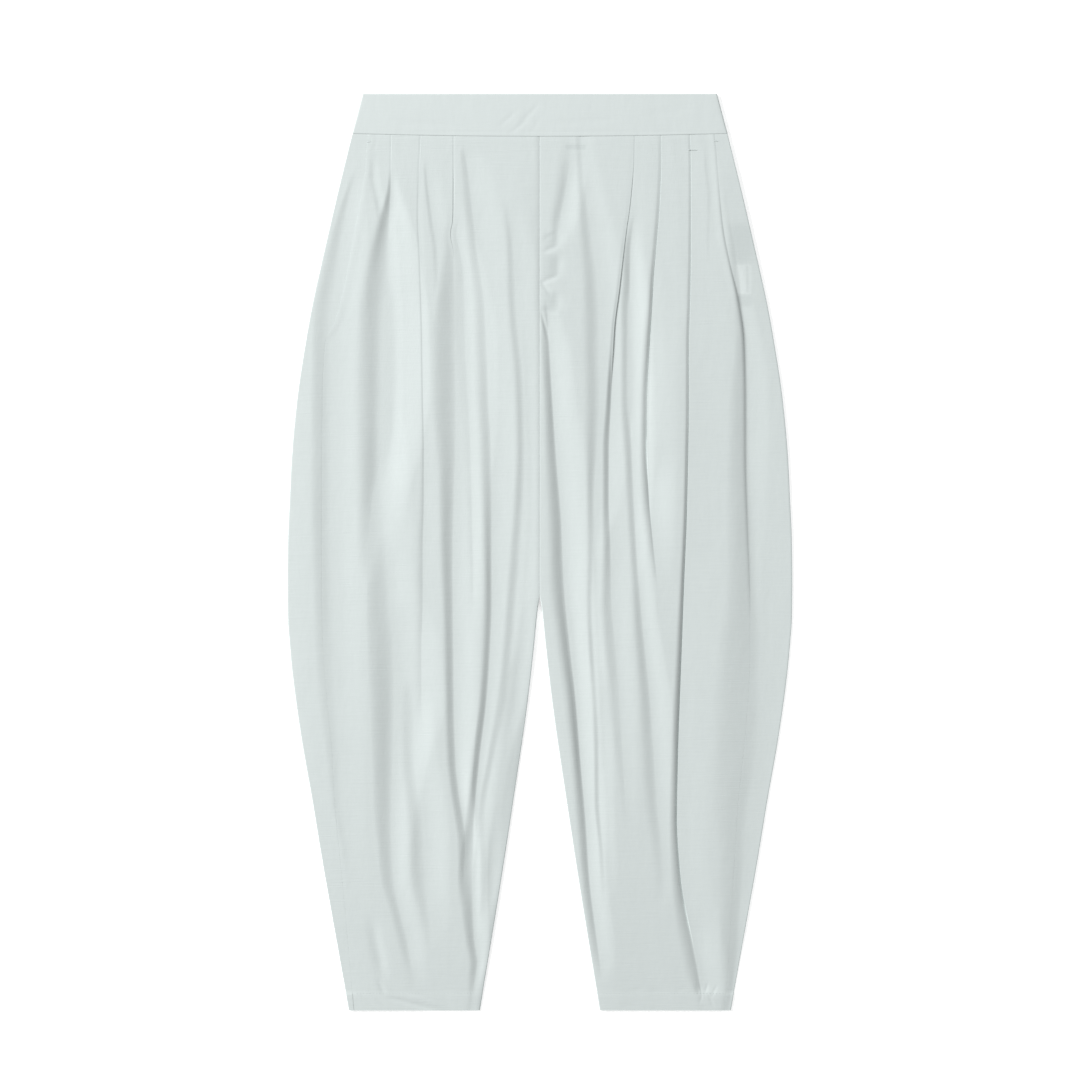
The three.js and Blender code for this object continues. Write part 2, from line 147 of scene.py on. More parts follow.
def soft_max(a: Array | float, b: Array | float, softness: float = SOFT_FLOOR) -> Array:
    """The larger of two values, with a rounded change from one to the other."""
    return (a + b + np.hypot(a - b, softness)) / 2


@dataclass(frozen=True)
class Curve:
    """A smooth curve through knots that never swings past them, level beyond its ends."""

    ups: tuple[float, ...]
    values: tuple[float, ...]

    def at(self, up: Array | float) -> Array:
        """Reads the curve.

        Args:
            up: heights above the hem.

        Returns:
            The values at those heights.
        """
        order = np.argsort(self.ups)
        knots = np.asarray(self.ups, float)[order]
        values = np.asarray(self.values, float)[order]
        steps = np.diff(values) / np.diff(knots)
        slopes = np.zeros_like(values)
        if len(steps) > 1:
            product = steps[:-1] * steps[1:]
            total = steps[:-1] + steps[1:]
            safe = np.where(total == 0, 1.0, total)
            slopes[1:-1] = np.where(product > 0, 2 * product / safe, 0.0)
            slopes[0], slopes[-1] = steps[0], steps[-1]
        height = np.clip(np.asarray(up, float), knots[0], knots[-1])
        i = np.clip(np.searchsorted(knots, height, side="right") - 1, 0, len(knots) - 2)
        span = knots[i + 1] - knots[i]
        t = (height - knots[i]) / span
        return (
            values[i] * (1 + 2 * t) * (1 - t) ** 2
            + values[i + 1] * t * t * (3 - 2 * t)
            + slopes[i] * span * t * (1 - t) ** 2
            - slopes[i + 1] * span * t * t * (1 - t)
        )


# ---- The garment's outline and its folds ----

OUTLINE_UP = (0.962, 0.914, 0.850, 0.788, 0.745, 0.703, 0.640, 0.580, 0.535, 0.493, 0.450,
              0.410, 0.388, 0.360, 0.325, 0.283, 0.220, 0.157, 0.080, 0.0)
OUTER_HALF = Curve(OUTLINE_UP, (0.1860, 0.1978, 0.2137, 0.2284, 0.2380, 0.2457, 0.2551, 0.2606,
                                0.2628, 0.2646, 0.2651, 0.2646, 0.2630, 0.2605, 0.2562, 0.2500,
                                0.2389, 0.2285, 0.2148, 0.2005))
INNER_EDGE = Curve((0.434, 0.427, 0.410, 0.388, 0.325, 0.220, 0.115, 0.0),
                   (0.0, 0.0014, 0.0034, 0.0055, 0.0126, 0.0278, 0.0440, 0.0630))
LOFT_UP = (0.962, 0.917, 0.880, 0.850, 0.745, 0.600, 0.480, 0.434, 0.300, 0.150, 0.050, 0.0)
CROWN_LOFT = Curve(LOFT_UP, (0.0036, 0.0036, 0.0040, 0.0043, 0.0046, 0.0047, 0.0047, 0.0047,
                             0.0046, 0.0042, 0.0034, 0.0024))
SEAM_LOFT = Curve(LOFT_UP, (0.0036, 0.0036, 0.0038, 0.0039, 0.0040, 0.0042, 0.0042, 0.0041,
                            0.0036, 0.0031, 0.0025, 0.0018))


def seam_rise(x: Array) -> Array:
    """How much higher the waist seam lies at x than in the middle."""
    return WAIST_SEAM_RISE * (x / OUTER_HALF.at(WAIST_SEAM_UP)) ** 2


class FoldRow(NamedTuple):
    """A fold at one height, in millimetres; inner and outer are the widths of its two slopes."""

    up: float
    x: float
    sink: float
    inner: float
    outer: float


@dataclass(frozen=True)
class Fold:
    """A long fold of a front panel, as rows of FoldRow from the waist down.

    crisp goes from 0, a soft trough, to 1, a sharp line. A pleat also has the cloth folded under at
    the waist (tuck), the height where it has all come out (tuck_to), both in millimetres, and the
    side whose layer lies on top (lip).
    """

    name: str
    rows: tuple[tuple[float, float, float, float, float], ...]
    crisp: float = 0.5
    tuck: float = 0.0
    tuck_to: float = 0.0
    lip: Lip = Lip.INNER

    def column(self, name: str) -> tuple[float, ...]:
        """One column of the rows, in metres."""
        return tuple(getattr(FoldRow(*row), name) / 1000 for row in self.rows)

    def curve(self, name: str) -> Curve:
        """One column of the rows as a curve over height."""
        return Curve(self.column("up"), self.column(name))


@dataclass(frozen=True)
class Crease:
    """A short crease: a soft trough, or a ridge where sink is negative."""

    x: float
    up: float
    length: float
    degrees: float
    width: float
    sink: float


def creases(*rows: tuple[float, ...]) -> tuple[Crease, ...]:
    """Makes creases from rows in millimetres.

    Args:
        rows: x, up, length, degrees, width and sink of each crease.

    Returns:
        The creases, in metres.
    """
    return tuple(
        Crease(x / 1000, up / 1000, length / 1000, degrees, width / 1000, sink / 1000)
        for x, up, length, degrees, width, sink in rows
    )


LEFT_FOLDS = (
    Fold("fly_drape", crisp=0.8, rows=(
        (745, 7, 0, 6, 8), (722, 8.5, 1.6, 10, 10), (698, 9.8, 2.8, 13, 14), (640, 13.2, 3.8, 14, 16),
        (578, 17.4, 4.6, 18, 20), (515, 22.3, 5.4, 21, 20), (452, 25.0, 6.0, 22, 20),
        (389, 31.0, 6.2, 19, 18), (326, 37.6, 5.6, 15, 16), (263, 42.4, 5.0, 13, 15),
        (200, 48.0, 4.4, 15, 14), (137, 52.2, 3.4, 13, 12), (74, 60, 2.0, 12, 12), (30, 66, 0, 8, 8))),
    Fold("upper_drape", crisp=0.3, rows=(
        (905, 32, 0.3, 12, 9), (880, 30, 1.7, 14, 12), (860, 27.5, 2.2, 14, 12), (835, 22.5, 2.1, 14, 12),
        (820, 20, 1.4, 12, 12), (805, 18, 0, 8, 12))),
    Fold("thigh_drape", crisp=0.3, rows=(
        (908, 44, 0.6, 10, 8), (862, 48, 1.3, 13, 12), (830, 52, 1.8, 16, 16), (798, 56, 2.2, 19, 18),
        (767, 60, 2.7, 22, 20), (735, 62, 3.0, 24, 24), (640, 62.5, 3.0, 22, 24),
        (588, 60, 2.8, 17, 22), (536, 57, 2.1, 12, 18), (483, 56.5, 1.5, 10, 8), (430, 55, 1.3, 9, 8),
        (378, 57, 1.8, 9, 8), (325, 60.5, 1.3, 9, 10), (273, 62.5, 1.8, 9, 10),
        (220, 63, 1.7, 9, 10), (168, 67, 1.0, 8, 9), (110, 70, 0, 8, 8))),
    Fold("front_pleat", crisp=0.6, tuck=8, tuck_to=700, lip=Lip.INNER, rows=(
        (917, 99, 0.2, 3, 8), (890, 98.5, 0.3, 3, 10), (857, 96.0, 0.6, 3, 14), (827, 92.4, 1.0, 4, 18),
        (790, 87.4, 1.6, 5, 24), (756, 83.4, 2.2, 5, 28), (716, 78.2, 2.7, 5, 32),
        (672, 76.0, 3.1, 7, 34), (640, 75.2, 3.4, 9, 34), (588, 73.0, 3.4, 11, 32),
        (536, 72.8, 3.2, 11, 28), (483, 74.6, 2.8, 14, 24), (430, 75.5, 2.2, 18, 16),
        (378, 80, 1.9, 20, 12), (325, 84, 1.5, 20, 12), (273, 87, 0.9, 14, 10),
        (220, 90, 0.3, 8, 8), (190, 92, 0, 8, 8))),
    Fold("between_fold", crisp=0.6, rows=(
        (835, 96, 0, 6, 5), (798, 95.2, 1.6, 10, 8), (767, 95.0, 2.7, 13, 11), (735, 94.6, 3.6, 15, 14),
        (640, 94.8, 3.7, 15, 16), (588, 96.6, 3.0, 13, 15), (536, 98.8, 2.3, 12, 12),
        (483, 101.5, 2.2, 11, 10), (430, 105.5, 2.3, 13, 10), (378, 110.5, 2.6, 15, 12),
        (325, 116, 2.9, 18, 14), (273, 119.5, 2.6, 20, 14), (220, 123, 2.2, 20, 14),
        (168, 128, 1.2, 16, 12), (110, 131, 0, 12, 12))),
    Fold("middle_pleat", crisp=1.0, tuck=14, tuck_to=600, lip=Lip.OUTER, rows=(
        (917, 127.9, 0.5, 4, 6), (893, 128.0, 0.8, 5, 8), (845, 126.2, 1.3, 6, 12), (798, 122.4, 2.1, 7, 16),
        (767, 119.8, 2.8, 8, 20), (735, 118.0, 3.6, 9, 22), (693, 115.4, 4.6, 11, 20),
        (640, 113.0, 5.1, 11, 20), (588, 112.6, 4.9, 12, 20), (536, 114.8, 4.2, 13, 18),
        (505, 117.4, 2.6, 12, 16), (470, 121, 1.0, 10, 12), (445, 124, 0, 8, 8))),
    Fold("long_pleat", crisp=1.0, tuck=13, tuck_to=110, lip=Lip.OUTER, rows=(
        (917, 158.2, 0.5, 4, 5), (893, 158.8, 0.8, 4, 8), (850, 159.2, 1.0, 5, 12),
        (798, 159.0, 1.3, 5, 20), (746, 158.2, 1.6, 6, 26), (698, 156.8, 1.9, 6, 30),
        (640, 156.8, 2.2, 6, 34), (578, 155.8, 2.6, 6, 34), (515, 154.4, 3.0, 7, 34),
        (452, 151.8, 3.4, 8, 32), (389, 149.6, 3.9, 10, 30), (326, 147.2, 4.3, 11, 26),
        (263, 145.2, 4.4, 12, 24), (200, 144.3, 4.5, 13, 22), (137, 148.4, 4.4, 16, 20),
        (105, 153.6, 4.4, 19, 20), (74, 160.0, 4.3, 22, 20), (37, 167.0, 3.6, 20, 20),
        (23, 169.0, 2.8, 14, 18), (17, 170, 0.7, 12, 14), (8, 171, 0.2, 10, 12))),
)

LEFT_DRAPES = (
    Fold("seam_line", crisp=1.0, rows=(
        (865, 187.6, 0, 3, 3), (840, 190.2, 0.25, 3, 4), (820, 192.3, 0.4, 3, 4),
        (800, 196.0, 0.5, 4, 5), (775, 201.8, 0.8, 4, 7), (746, 208.9, 1.2, 5, 9), (698, 215.2, 1.6, 6, 12),
        (640, 216.8, 1.6, 7, 16), (578, 217.0, 1.4, 7, 14), (515, 218.8, 1.0, 7, 12),
        (452, 221, 0.6, 6, 8), (410, 222, 0, 6, 8))),
    Fold("pocket_crease", crisp=0.2, rows=(
        (905, 175, 0, 5, 5), (880, 177, 0.3, 7, 8), (850, 180, 0.3, 7, 8), (810, 179, 0.25, 7, 8),
        (780, 179, 0, 5, 6))),
    Fold("seam_drape", crisp=0.65, rows=(
        (880, 191, 0, 8, 16), (845, 197, 0.2, 8, 20), (810, 203, 0.7, 10, 26),
        (775, 209, 1.4, 12, 34), (735, 213, 2.0, 14, 40), (698, 218, 2.6, 20, 40), (640, 219.5, 3.4, 31, 40),
        (578, 220.5, 4.2, 36, 40), (515, 225, 5.0, 44, 40), (452, 228.5, 5.4, 50, 40),
        (389, 230.5, 5.4, 62, 38), (326, 230, 4.9, 70, 36), (263, 226, 4.3, 66, 34),
        (200, 217, 3.6, 50, 34), (137, 213, 3.1, 38, 28), (105, 210.5, 3.0, 34, 24),
        (63, 208, 3.0, 30, 16), (20, 203, 1.6, 16, 12))),
)

RIGHT_FOLDS = (
    Fold("fly_drape", crisp=0.2, rows=(
        (850, 33, 0, 8, 8), (798, 27, 1.3, 14, 12), (735, 24, 1.7, 14, 14), (672, 18, 2.0, 14, 14),
        (640, 16.4, 2.1, 14, 14), (588, 15.4, 2.3, 14, 14), (536, 16.4, 2.6, 15, 16),
        (483, 19.2, 2.6, 16, 18), (430, 23.5, 2.6, 16, 18), (389, 26.5, 2.6, 14, 18),
        (326, 33.5, 2.4, 12, 18), (263, 46.5, 2.0, 10, 14), (200, 55.5, 1.5, 10, 14),
        (137, 53.5, 1.3, 8, 14), (90, 57, 0, 6, 10))),
    Fold("knee_fold", crisp=0.6, rows=(
        (905, 80, 0, 6, 6), (893, 77, 0.9, 14, 10), (845, 71, 1.4, 18, 13), (798, 66, 1.7, 22, 15),
        (745, 58.5, 2.2, 24, 17), (693, 55.6, 2.7, 24, 19), (640, 53.6, 3.1, 24, 19),
        (588, 51.2, 3.4, 24, 19), (536, 50.6, 3.5, 24, 16), (430, 50.4, 3.4, 20, 12),
        (378, 52.2, 3.3, 18, 12), (325, 55.8, 3.4, 16, 12), (263, 63, 3.6, 14, 13),
        (200, 68.6, 3.8, 12, 14), (168, 70, 4.0, 10, 20), (137, 71, 4.0, 10, 24), (105, 70, 3.8, 10, 19),
        (74, 68.4, 3.2, 10, 15), (37, 62.5, 1.8, 6, 12), (15, 61, 0.4, 6, 8))),
    Fold("thin_crease", crisp=0.8, rows=(
        (830, 89, 0, 8, 3), (818, 88.5, 0.3, 8, 6), (777, 80.3, 0.8, 10, 14), (740, 79, 0.9, 12, 20),
        (695, 78, 0.8, 12, 18), (614, 73.5, 0.6, 10, 12), (536, 71.5, 0.6, 8, 8), (483, 70.5, 0.5, 6, 6),
        (440, 70, 0.3, 5, 5), (400, 70, 0, 5, 5),
        (300, 68, 0, 5, 5), (200, 72, 0, 5, 5), (137, 73, 0, 5, 5))),
    Fold("front_pleat", crisp=0.5, tuck=12, tuck_to=840, lip=Lip.OUTER, rows=(
        (917, 91.1, 0.05, 4, 4), (862, 91, 0.1, 5, 6), (840, 91.0, 0.5, 8, 9), (818, 91.0, 1.1, 14, 11),
        (798, 90.4, 2.0, 18, 16), (767, 89.4, 3.2, 22, 24), (735, 88.6, 4.2, 26, 32),
        (703, 88.2, 4.8, 28, 36), (640, 88.0, 4.9, 28, 36), (588, 88.0, 4.5, 26, 30),
        (557, 89.2, 4.3, 24, 25), (472, 91.0, 4.1, 22, 20), (389, 90.4, 3.6, 18, 16),
        (326, 89.8, 3.6, 16, 15), (263, 88, 3.5, 12, 15), (231, 85.0, 3.3, 9, 14), (200, 80, 3.0, 8, 14),
        (168, 76, 2.0, 7, 12), (137, 76, 0.6, 6, 10), (115, 77, 0, 6, 8))),
    Fold("soft_drape", crisp=0.2, rows=(
        (892, 119, 0, 6, 6), (877, 118, 0.5, 8, 6), (830, 112, 0.8, 10, 8), (798, 107, 0.8, 10, 9),
        (767, 106, 0.4, 8, 9), (745, 106, 0, 8, 9), (500, 100, 0, 8, 9), (300, 96, 0, 8, 9),
        (200, 90, 0, 8, 9), (137, 86, 0, 8, 9))),
    Fold("middle_pleat", crisp=0.8, tuck=8, tuck_to=908, lip=Lip.INNER, rows=(
        (917, 124.6, 0.2, 4, 3), (834, 127.8, 0.3, 4, 3), (783, 125.7, 0.35, 4, 3),
        (716, 123.6, 0.45, 5, 3), (640, 122.5, 0.5, 6, 3), (588, 121.5, 0.6, 8, 4),
        (536, 121.5, 0.9, 10, 6), (483, 122.5, 1.1, 12, 9), (430, 122.5, 1.1, 14, 10),
        (378, 124, 0.9, 14, 10), (325, 124, 0.6, 14, 10), (290, 122, 0, 12, 10),
        (200, 112, 0, 12, 10), (137, 108, 0, 12, 10))),
    Fold("calf_fold", crisp=0.3, rows=(
        (345, 136, 0, 14, 10), (325, 134, 0.9, 14, 16), (263, 131.5, 2.1, 16, 20), (230, 127.5, 2.6, 18, 22),
        (200, 123.5, 2.8, 18, 24), (137, 120, 2.3, 16, 24), (100, 116, 0.9, 14, 14), (70, 114, 0, 10, 8))),
    Fold("shin_fold", crisp=0.5, rows=(
        (500, 160, 0, 8, 14), (460, 159, 1.4, 18, 28), (430, 158.2, 2.6, 24, 36), (389, 154.4, 4.6, 30, 40),
        (326, 152.8, 5.4, 34, 38), (263, 154.2, 4.7, 24, 33), (200, 155.8, 3.6, 16, 27),
        (168, 155.4, 3.0, 13, 22), (137, 153.6, 2.6, 12, 20), (105, 147, 2.0, 12, 16),
        (74, 139.6, 1.8, 12, 15), (40, 133, 0.6, 10, 12), (22, 130, 0, 10, 10))),
    Fold("side_pleat", crisp=0.5, tuck=8, tuck_to=912, lip=Lip.INNER, rows=(
        (917, 155.5, 0.0, 3, 3), (880, 155.8, 0.2, 4, 4), (862, 156.0, 1.2, 6, 6),
        (845, 156.8, 2.6, 10, 11), (830, 157.6, 3.3, 14, 16), (798, 158.4, 3.7, 20, 27),
        (767, 157.5, 3.9, 22, 38), (735, 156.0, 4.7, 25, 50), (672, 156.0, 5.2, 26, 56),
        (640, 157.0, 5.2, 26, 56), (588, 164, 4.5, 25, 44), (536, 175, 2.8, 22, 26),
        (483, 180, 0.9, 18, 18), (450, 182, 0, 14, 14))),
)

RIGHT_DRAPES = (
    Fold("inner_hollow", crisp=0.2, rows=(
        (430, 10, 0, 6, 14), (389, 12, 0.8, 6, 22), (347, 16, 2.0, 8, 30), (305, 20, 2.5, 8, 34),
        (263, 24, 2.6, 8, 36), (221, 32, 2.5, 8, 36), (179, 40, 2.0, 8, 32), (137, 47, 1.3, 8, 26),
        (95, 52, 0.5, 8, 18), (60, 56, 0, 8, 14))),
    Fold("side_hollow", crisp=0.4, rows=(
        (850, 159, 0, 8, 8), (825, 163, 1.0, 8, 14), (798, 166, 1.7, 12, 20), (767, 168, 1.9, 14, 28),
        (735, 169, 2.0, 16, 34), (640, 168.5, 2.1, 16, 36), (588, 168, 2.0, 18, 34),
        (536, 165, 1.9, 20, 32), (480, 162, 1.7, 20, 36), (430, 160, 0.9, 18, 34), (395, 159, 0, 16, 30))),
    Fold("pocket_streak", crisp=0.3, rows=(
        (895, 176, 0, 4, 4), (872, 175, 0.5, 5, 5), (845, 169.5, 0.6, 5, 5), (825, 166, 0, 5, 5))),
    Fold("seam_drape", crisp=0.2, rows=(
        (880, 190, 0, 6, 8), (862, 196, 0.7, 10, 10), (830, 203, 1.4, 14, 16), (798, 208, 1.8, 18, 22),
        (767, 213, 2.2, 20, 26), (735, 217, 2.6, 22, 30), (703, 218, 2.9, 24, 32),
        (640, 218, 3.1, 24, 33), (536, 218, 3.1, 24, 33), (430, 216, 2.6, 22, 32),
        (389, 215, 2.2, 22, 32), (325, 213, 1.7, 20, 28), (273, 210, 1.2, 18, 22),
        (220, 208, 0.8, 16, 16), (168, 200, 0.3, 12, 12), (120, 196, 0, 12, 10))),
)

LEFT_SEAM = Curve(
    (0.917, 0.901, 0.862, 0.820, 0.783, 0.750, 0.716, 0.683, 0.640, 0.588, 0.536, 0.483, 0.430,
     0.378, 0.325, 0.273, 0.220, 0.168, 0.116, 0.0),
    (0.1830, 0.1838, 0.1868, 0.1911, 0.1983, 0.2064, 0.2126, 0.2150, 0.2154, 0.2156, 0.2170, 0.2190,
     0.2208, 0.2208, 0.2187, 0.2140, 0.2085, 0.2050, 0.2020, 0.1950))
RIGHT_SEAM = Curve(
    (0.917, 0.877, 0.834, 0.812, 0.783, 0.745, 0.723, 0.700, 0.640, 0.536, 0.430, 0.378, 0.325,
     0.273, 0.220, 0.115, 0.0),
    (0.1783, 0.1813, 0.1887, 0.1929, 0.1981, 0.2065, 0.2138, 0.2254, 0.2280, 0.2285, 0.2285, 0.2270,
     0.2230, 0.2180, 0.2150, 0.2050, 0.1950))

LEFT_CREASES = creases(
    (18.5, 808, 18, 80, 5.5, 0.42), (18.8, 781.5, 26, 86, 5.5, 0.5), (17.8, 744, 20, 96, 5.5, 0.42),
    (11.9, 812.9, 20, 28, 1.6, 0.3), (11.3, 799, 20, 25, 1.6, 0.5), (10, 767.2, 22, 22, 1.6, 0.65),
    (6.6, 757.2, 18, -51, 1.5, 0.5), (9.5, 734.1, 20, -14, 1.6, 0.5), (5.2, 719, 30, -76, 1.6, 0.6),
    (37.6, 906.6, 20, 0, 1.8, 0.45), (175, 23, 12, 70, 1.4, 0.25), (166, 21, 12, 110, 1.4, 0.25),
    (183, 20, 14, 60, 1.4, 0.25), (180, 10, 14, -62, 1.4, 0.22), (169, 12, 12, 75, 1.2, 0.2),
    (148, 21.5, 14, 20, 1.2, 0.2), (124, 21, 18, -8, 1.2, 0.16), (102, 21.5, 16, 12, 1.2, 0.16),
)
RIGHT_CREASES = creases(
    (136.2, 7.6, 60, 15, 1.8, 0.85), (119, 9.8, 40, 19, 1.5, -0.5), (166, 24, 18, 62, 2.6, 0.35),
    (181, 11, 26, 36, 1.6, 0.25), (170, 14, 24, 40, 1.6, 0.25), (170, 64, 70, 78, 6, 0.7),
    (176.5, 908, 16, 40, 1.2, 0.3),
)
BAND_CREASES = creases(
    (-33, 936, 30, 42, 1.8, 0.16), (-12, 939, 36, 48, 2, 0.2), (-22, 927, 26, 36, 1.8, 0.14),
    (-4, 929, 18, 64, 1.6, 0.14), (0, 921.8, 372, 0, 0.9, 0.1), (50, 933, 70, 3, 4, 0.14),
    (-120, 930, 80, -4, 4, 0.14), (130, 942, 60, 8, 5, 0.1),
)
BACK_CREASES = creases(
    (60, 700, 360, 92, 10, -0.4), (105, 560, 480, 89, 13, -0.5), (148, 640, 420, 87, 11, -0.4),
    (90, 240, 300, 98, 10, -0.4), (142, 200, 260, 84, 12, -0.3), (30, 560, 220, 97, 9, -0.3),
)


def relief(marks: tuple[Crease, ...], x: Array, up: Array) -> Array:
    """Adds up short creases.

    Args:
        marks: the creases to add up.
        x: distances from the centre line, or plain x where the creases are given so.
        up: heights above the hem.

    Returns:
        How far each place rises, below zero where it sinks.
    """
    total = np.zeros(np.broadcast(x, up).shape)
    for crease in marks:
        angle = math.radians(crease.degrees)
        along = (x - crease.x) * math.cos(angle) + (up - crease.up) * math.sin(angle)
        across = (up - crease.up) * math.cos(angle) - (x - crease.x) * math.sin(angle)
        window = ease(CREASE_FADE - np.abs(along) / (crease.length / 2))
        total -= crease.sink * window * np.exp(-((across / crease.width) ** 2))
    return total


def unevenness(x: Array, up: Array) -> Array:
    """The slow, slight waviness of cloth that lies by itself.

    Args:
        x: signed distances across the garment.
        up: heights above the hem.

    Returns:
        How far each place rises, at most about 1.
    """
    waves = (
        (23.0, 9.0, 0.7, 0.30),
        (-31.0, 14.0, 2.1, 0.24),
        (52.0, 6.0, 4.0, 0.20),
        (17.0, -21.0, 5.2, 0.16),
        (88.0, 11.0, 1.3, 0.10),
    )
    return sum(size * np.sin(a * x + b * up + phase) for a, b, phase, size in waves)


# ---- Meshes ----


def new_mesh_object(name: str, points: Array, faces: Array | list) -> Piece:
    """Makes a smooth-shaded object from points and faces.

    Args:
        name: the piece's name.
        points: an array of places, one row each.
        faces: the faces, each a row of indices.

    Returns:
        The new object, linked to the scene.
    """
    mesh = bpy.data.meshes.new(name)
    mesh.from_pydata(points.tolist(), [], [list(face) for face in faces])
    mesh.validate()
    mesh.shade_smooth()
    mesh.set_sharp_from_angle(angle=math.radians(SHARP_ANGLE))
    piece = bpy.data.objects.new(name, mesh)
    bpy.context.scene.collection.objects.link(piece)
    return piece


def join_grids(name: str, upper: Array, lower: Array, flip: bool = False) -> Piece:
    """Closes two equal grids of places into one shell with a rim.

    Args:
        name: the piece's name.
        upper: the upper face's places, in rows.
        lower: the lower face's places.
        flip: turns the faces over, for rows that run the other way round.

    Returns:
        The closed shell as a new object.
    """
    rows, columns, _ = upper.shape
    size = rows * columns
    first = (np.arange(rows - 1)[:, None] * columns + np.arange(columns - 1)).ravel()
    face = np.stack([first, first + 1, first + columns + 1, first + columns], axis=1)
    rim = np.concatenate([
        np.arange(columns),
        np.arange(1, rows) * columns + columns - 1,
        (rows - 1) * columns + np.arange(columns - 2, -1, -1),
        np.arange(rows - 2, 0, -1) * columns,
    ])
    following = np.roll(rim, -1)
    edge = np.stack([rim, rim + size, following + size, following], axis=1)
    faces = np.concatenate([face, face[:, ::-1] + size, edge])
    points = np.concatenate([upper.reshape(-1, 3), lower.reshape(-1, 3)])
    return new_mesh_object(name, points, faces[:, ::-1] if flip else faces)


def shell(name: str, middle: Array, thickness: Array | float, flip: bool) -> Piece:
    """Thickens a sheet of cloth into a closed shell.

    Args:
        name: the piece's name.
        middle: the sheet's middle, as rows of places along sections of constant height.
        thickness: the cloth's thickness, one value or one for each place.
        flip: turns the faces over, for sheets whose rows run the other way round.

    Returns:
        The closed shell as a new object.
    """
    rows, columns, _ = middle.shape
    along = np.gradient(middle, axis=1)
    normal = np.stack([-along[..., 2], np.zeros((rows, columns)), along[..., 0]], axis=2)
    normal /= np.linalg.norm(normal, axis=2, keepdims=True)
    half = np.broadcast_to(np.asarray(thickness, float) / 2, (rows, columns))[..., None]
    if flip:
        normal = -normal
    return join_grids(name, middle + normal * half, middle - normal * half, flip)


def join_tubes(name: str, paths: list[Array], radius: float, sides: int) -> Piece:
    """Makes short threads as one mesh of closed tubes.

    Args:
        name: the piece's name.
        paths: the threads' middle lines, all with the same number of places.
        radius: the thread's radius.
        sides: how many sides a tube has.

    Returns:
        The joined tubes as a new object.
    """
    points, faces = [], []
    turn = np.linspace(0, 2 * math.pi, sides, endpoint=False)
    start = 0
    for path in paths:
        count = len(path)
        tangent = np.gradient(path, axis=0)
        tangent /= np.linalg.norm(tangent, axis=1, keepdims=True)
        side = np.cross(tangent, np.array([0.0, 0.0, 1.0]))
        side /= np.linalg.norm(side, axis=1, keepdims=True)
        over = np.cross(side, tangent)
        size = np.full((count, 1, 1), radius)
        size[[0, -1]] *= THREAD_END
        ring = path[:, None, :] + size * (
            np.cos(turn)[None, :, None] * side[:, None, :]
            + np.sin(turn)[None, :, None] * over[:, None, :]
        )
        points.append(ring.reshape(-1, 3))
        for row in range(count - 1):
            for i in range(sides):
                j = (i + 1) % sides
                a, b = start + row * sides, start + (row + 1) * sides
                faces.append([a + i, a + j, b + j, b + i])
        faces.append([start + i for i in range(sides)][::-1])
        faces.append([start + (count - 1) * sides + i for i in range(sides)])
        start += count * sides
    return new_mesh_object(name, np.concatenate(points), faces)


# ---- Finishes ----


SLUB_GRAIN: Colour = (38.0, 900.0, 60.0)  # grains a metre along X, Y and Z, as in all of these
WEFT_GRAIN: Colour = (240.0, 2300.0, 60.0)
WARP_GRAIN: Colour = (2300.0, 110.0, 60.0)
BROAD_GRAIN: Colour = (9.0, 4.0, 4.0)
SMALL_GRAIN: Colour = (60.0, 26.0, 20.0)
TWIST_GRAIN: Colour = (2600.0, 2600.0, 900.0)
PAPER_GRAIN: Colour = (400.0, 400.0, 1.0)
GRAIN_ROUGHNESS = 0.55
MIDDLE = 0.5  # what a noise gives on average
WARP_SHARE = 0.8
BROAD_SHARE = 1.3
SMALL_SHARE = 0.7
WEAVE_HEIGHT = 0.00006
PUCKER_HEIGHT = 0.0003
TWIST_HEIGHT = 0.0001


class NodeBoard:
    """Places and joins the nodes of one node tree."""

    def __init__(self, tree: Tree) -> None:
        """Clears the tree and keeps it."""
        self.tree = tree
        tree.nodes.clear()

    def add(self, kind: str, **settings: object) -> Node:
        """Adds a node.

        Args:
            kind: Blender's name for the node's type.
            settings: properties to set, or inputs by name with spaces as underscores.

        Returns:
            The new node.
        """
        node = self.tree.nodes.new(kind)
        for key, value in settings.items():
            if hasattr(node, key):
                setattr(node, key, value)
            else:
                node.inputs[key.replace("_", " ")].default_value = value
        return node

    def link(self, source: Socket, target: Socket) -> None:
        """Joins an output to an input."""
        self.tree.links.new(source, target)

    def math(self, operation: str, first: object, second: object = 0.0) -> Socket:
        """Adds a Math node.

        Args:
            operation: the node's operation.
            first: a socket or a number.
            second: a socket or a number.

        Returns:
            The node's output.
        """
        node = self.add("ShaderNodeMath", operation=operation)
        for slot, value in enumerate((first, second)):
            if isinstance(value, Socket):
                self.link(value, node.inputs[slot])
            else:
                node.inputs[slot].default_value = value
        return node.outputs[0]

    def stretched_noise(self, vector: Socket, scale: Colour, detail: float) -> Socket:
        """Adds a noise that is stretched along the axes.

        Args:
            vector: the place to read it at.
            scale: how many grains a metre along X, Y and Z.
            detail: how much fine grain it has.

        Returns:
            The noise's value, about 0 to 1.
        """
        mapping = self.add("ShaderNodeMapping")
        mapping.inputs["Scale"].default_value = scale
        self.link(vector, mapping.inputs["Vector"])
        noise = self.add("ShaderNodeTexNoise", Scale=1.0, Detail=detail,
                         Roughness=GRAIN_ROUGHNESS)
        self.link(mapping.outputs[0], noise.inputs["Vector"])
        return noise.outputs["Fac"]


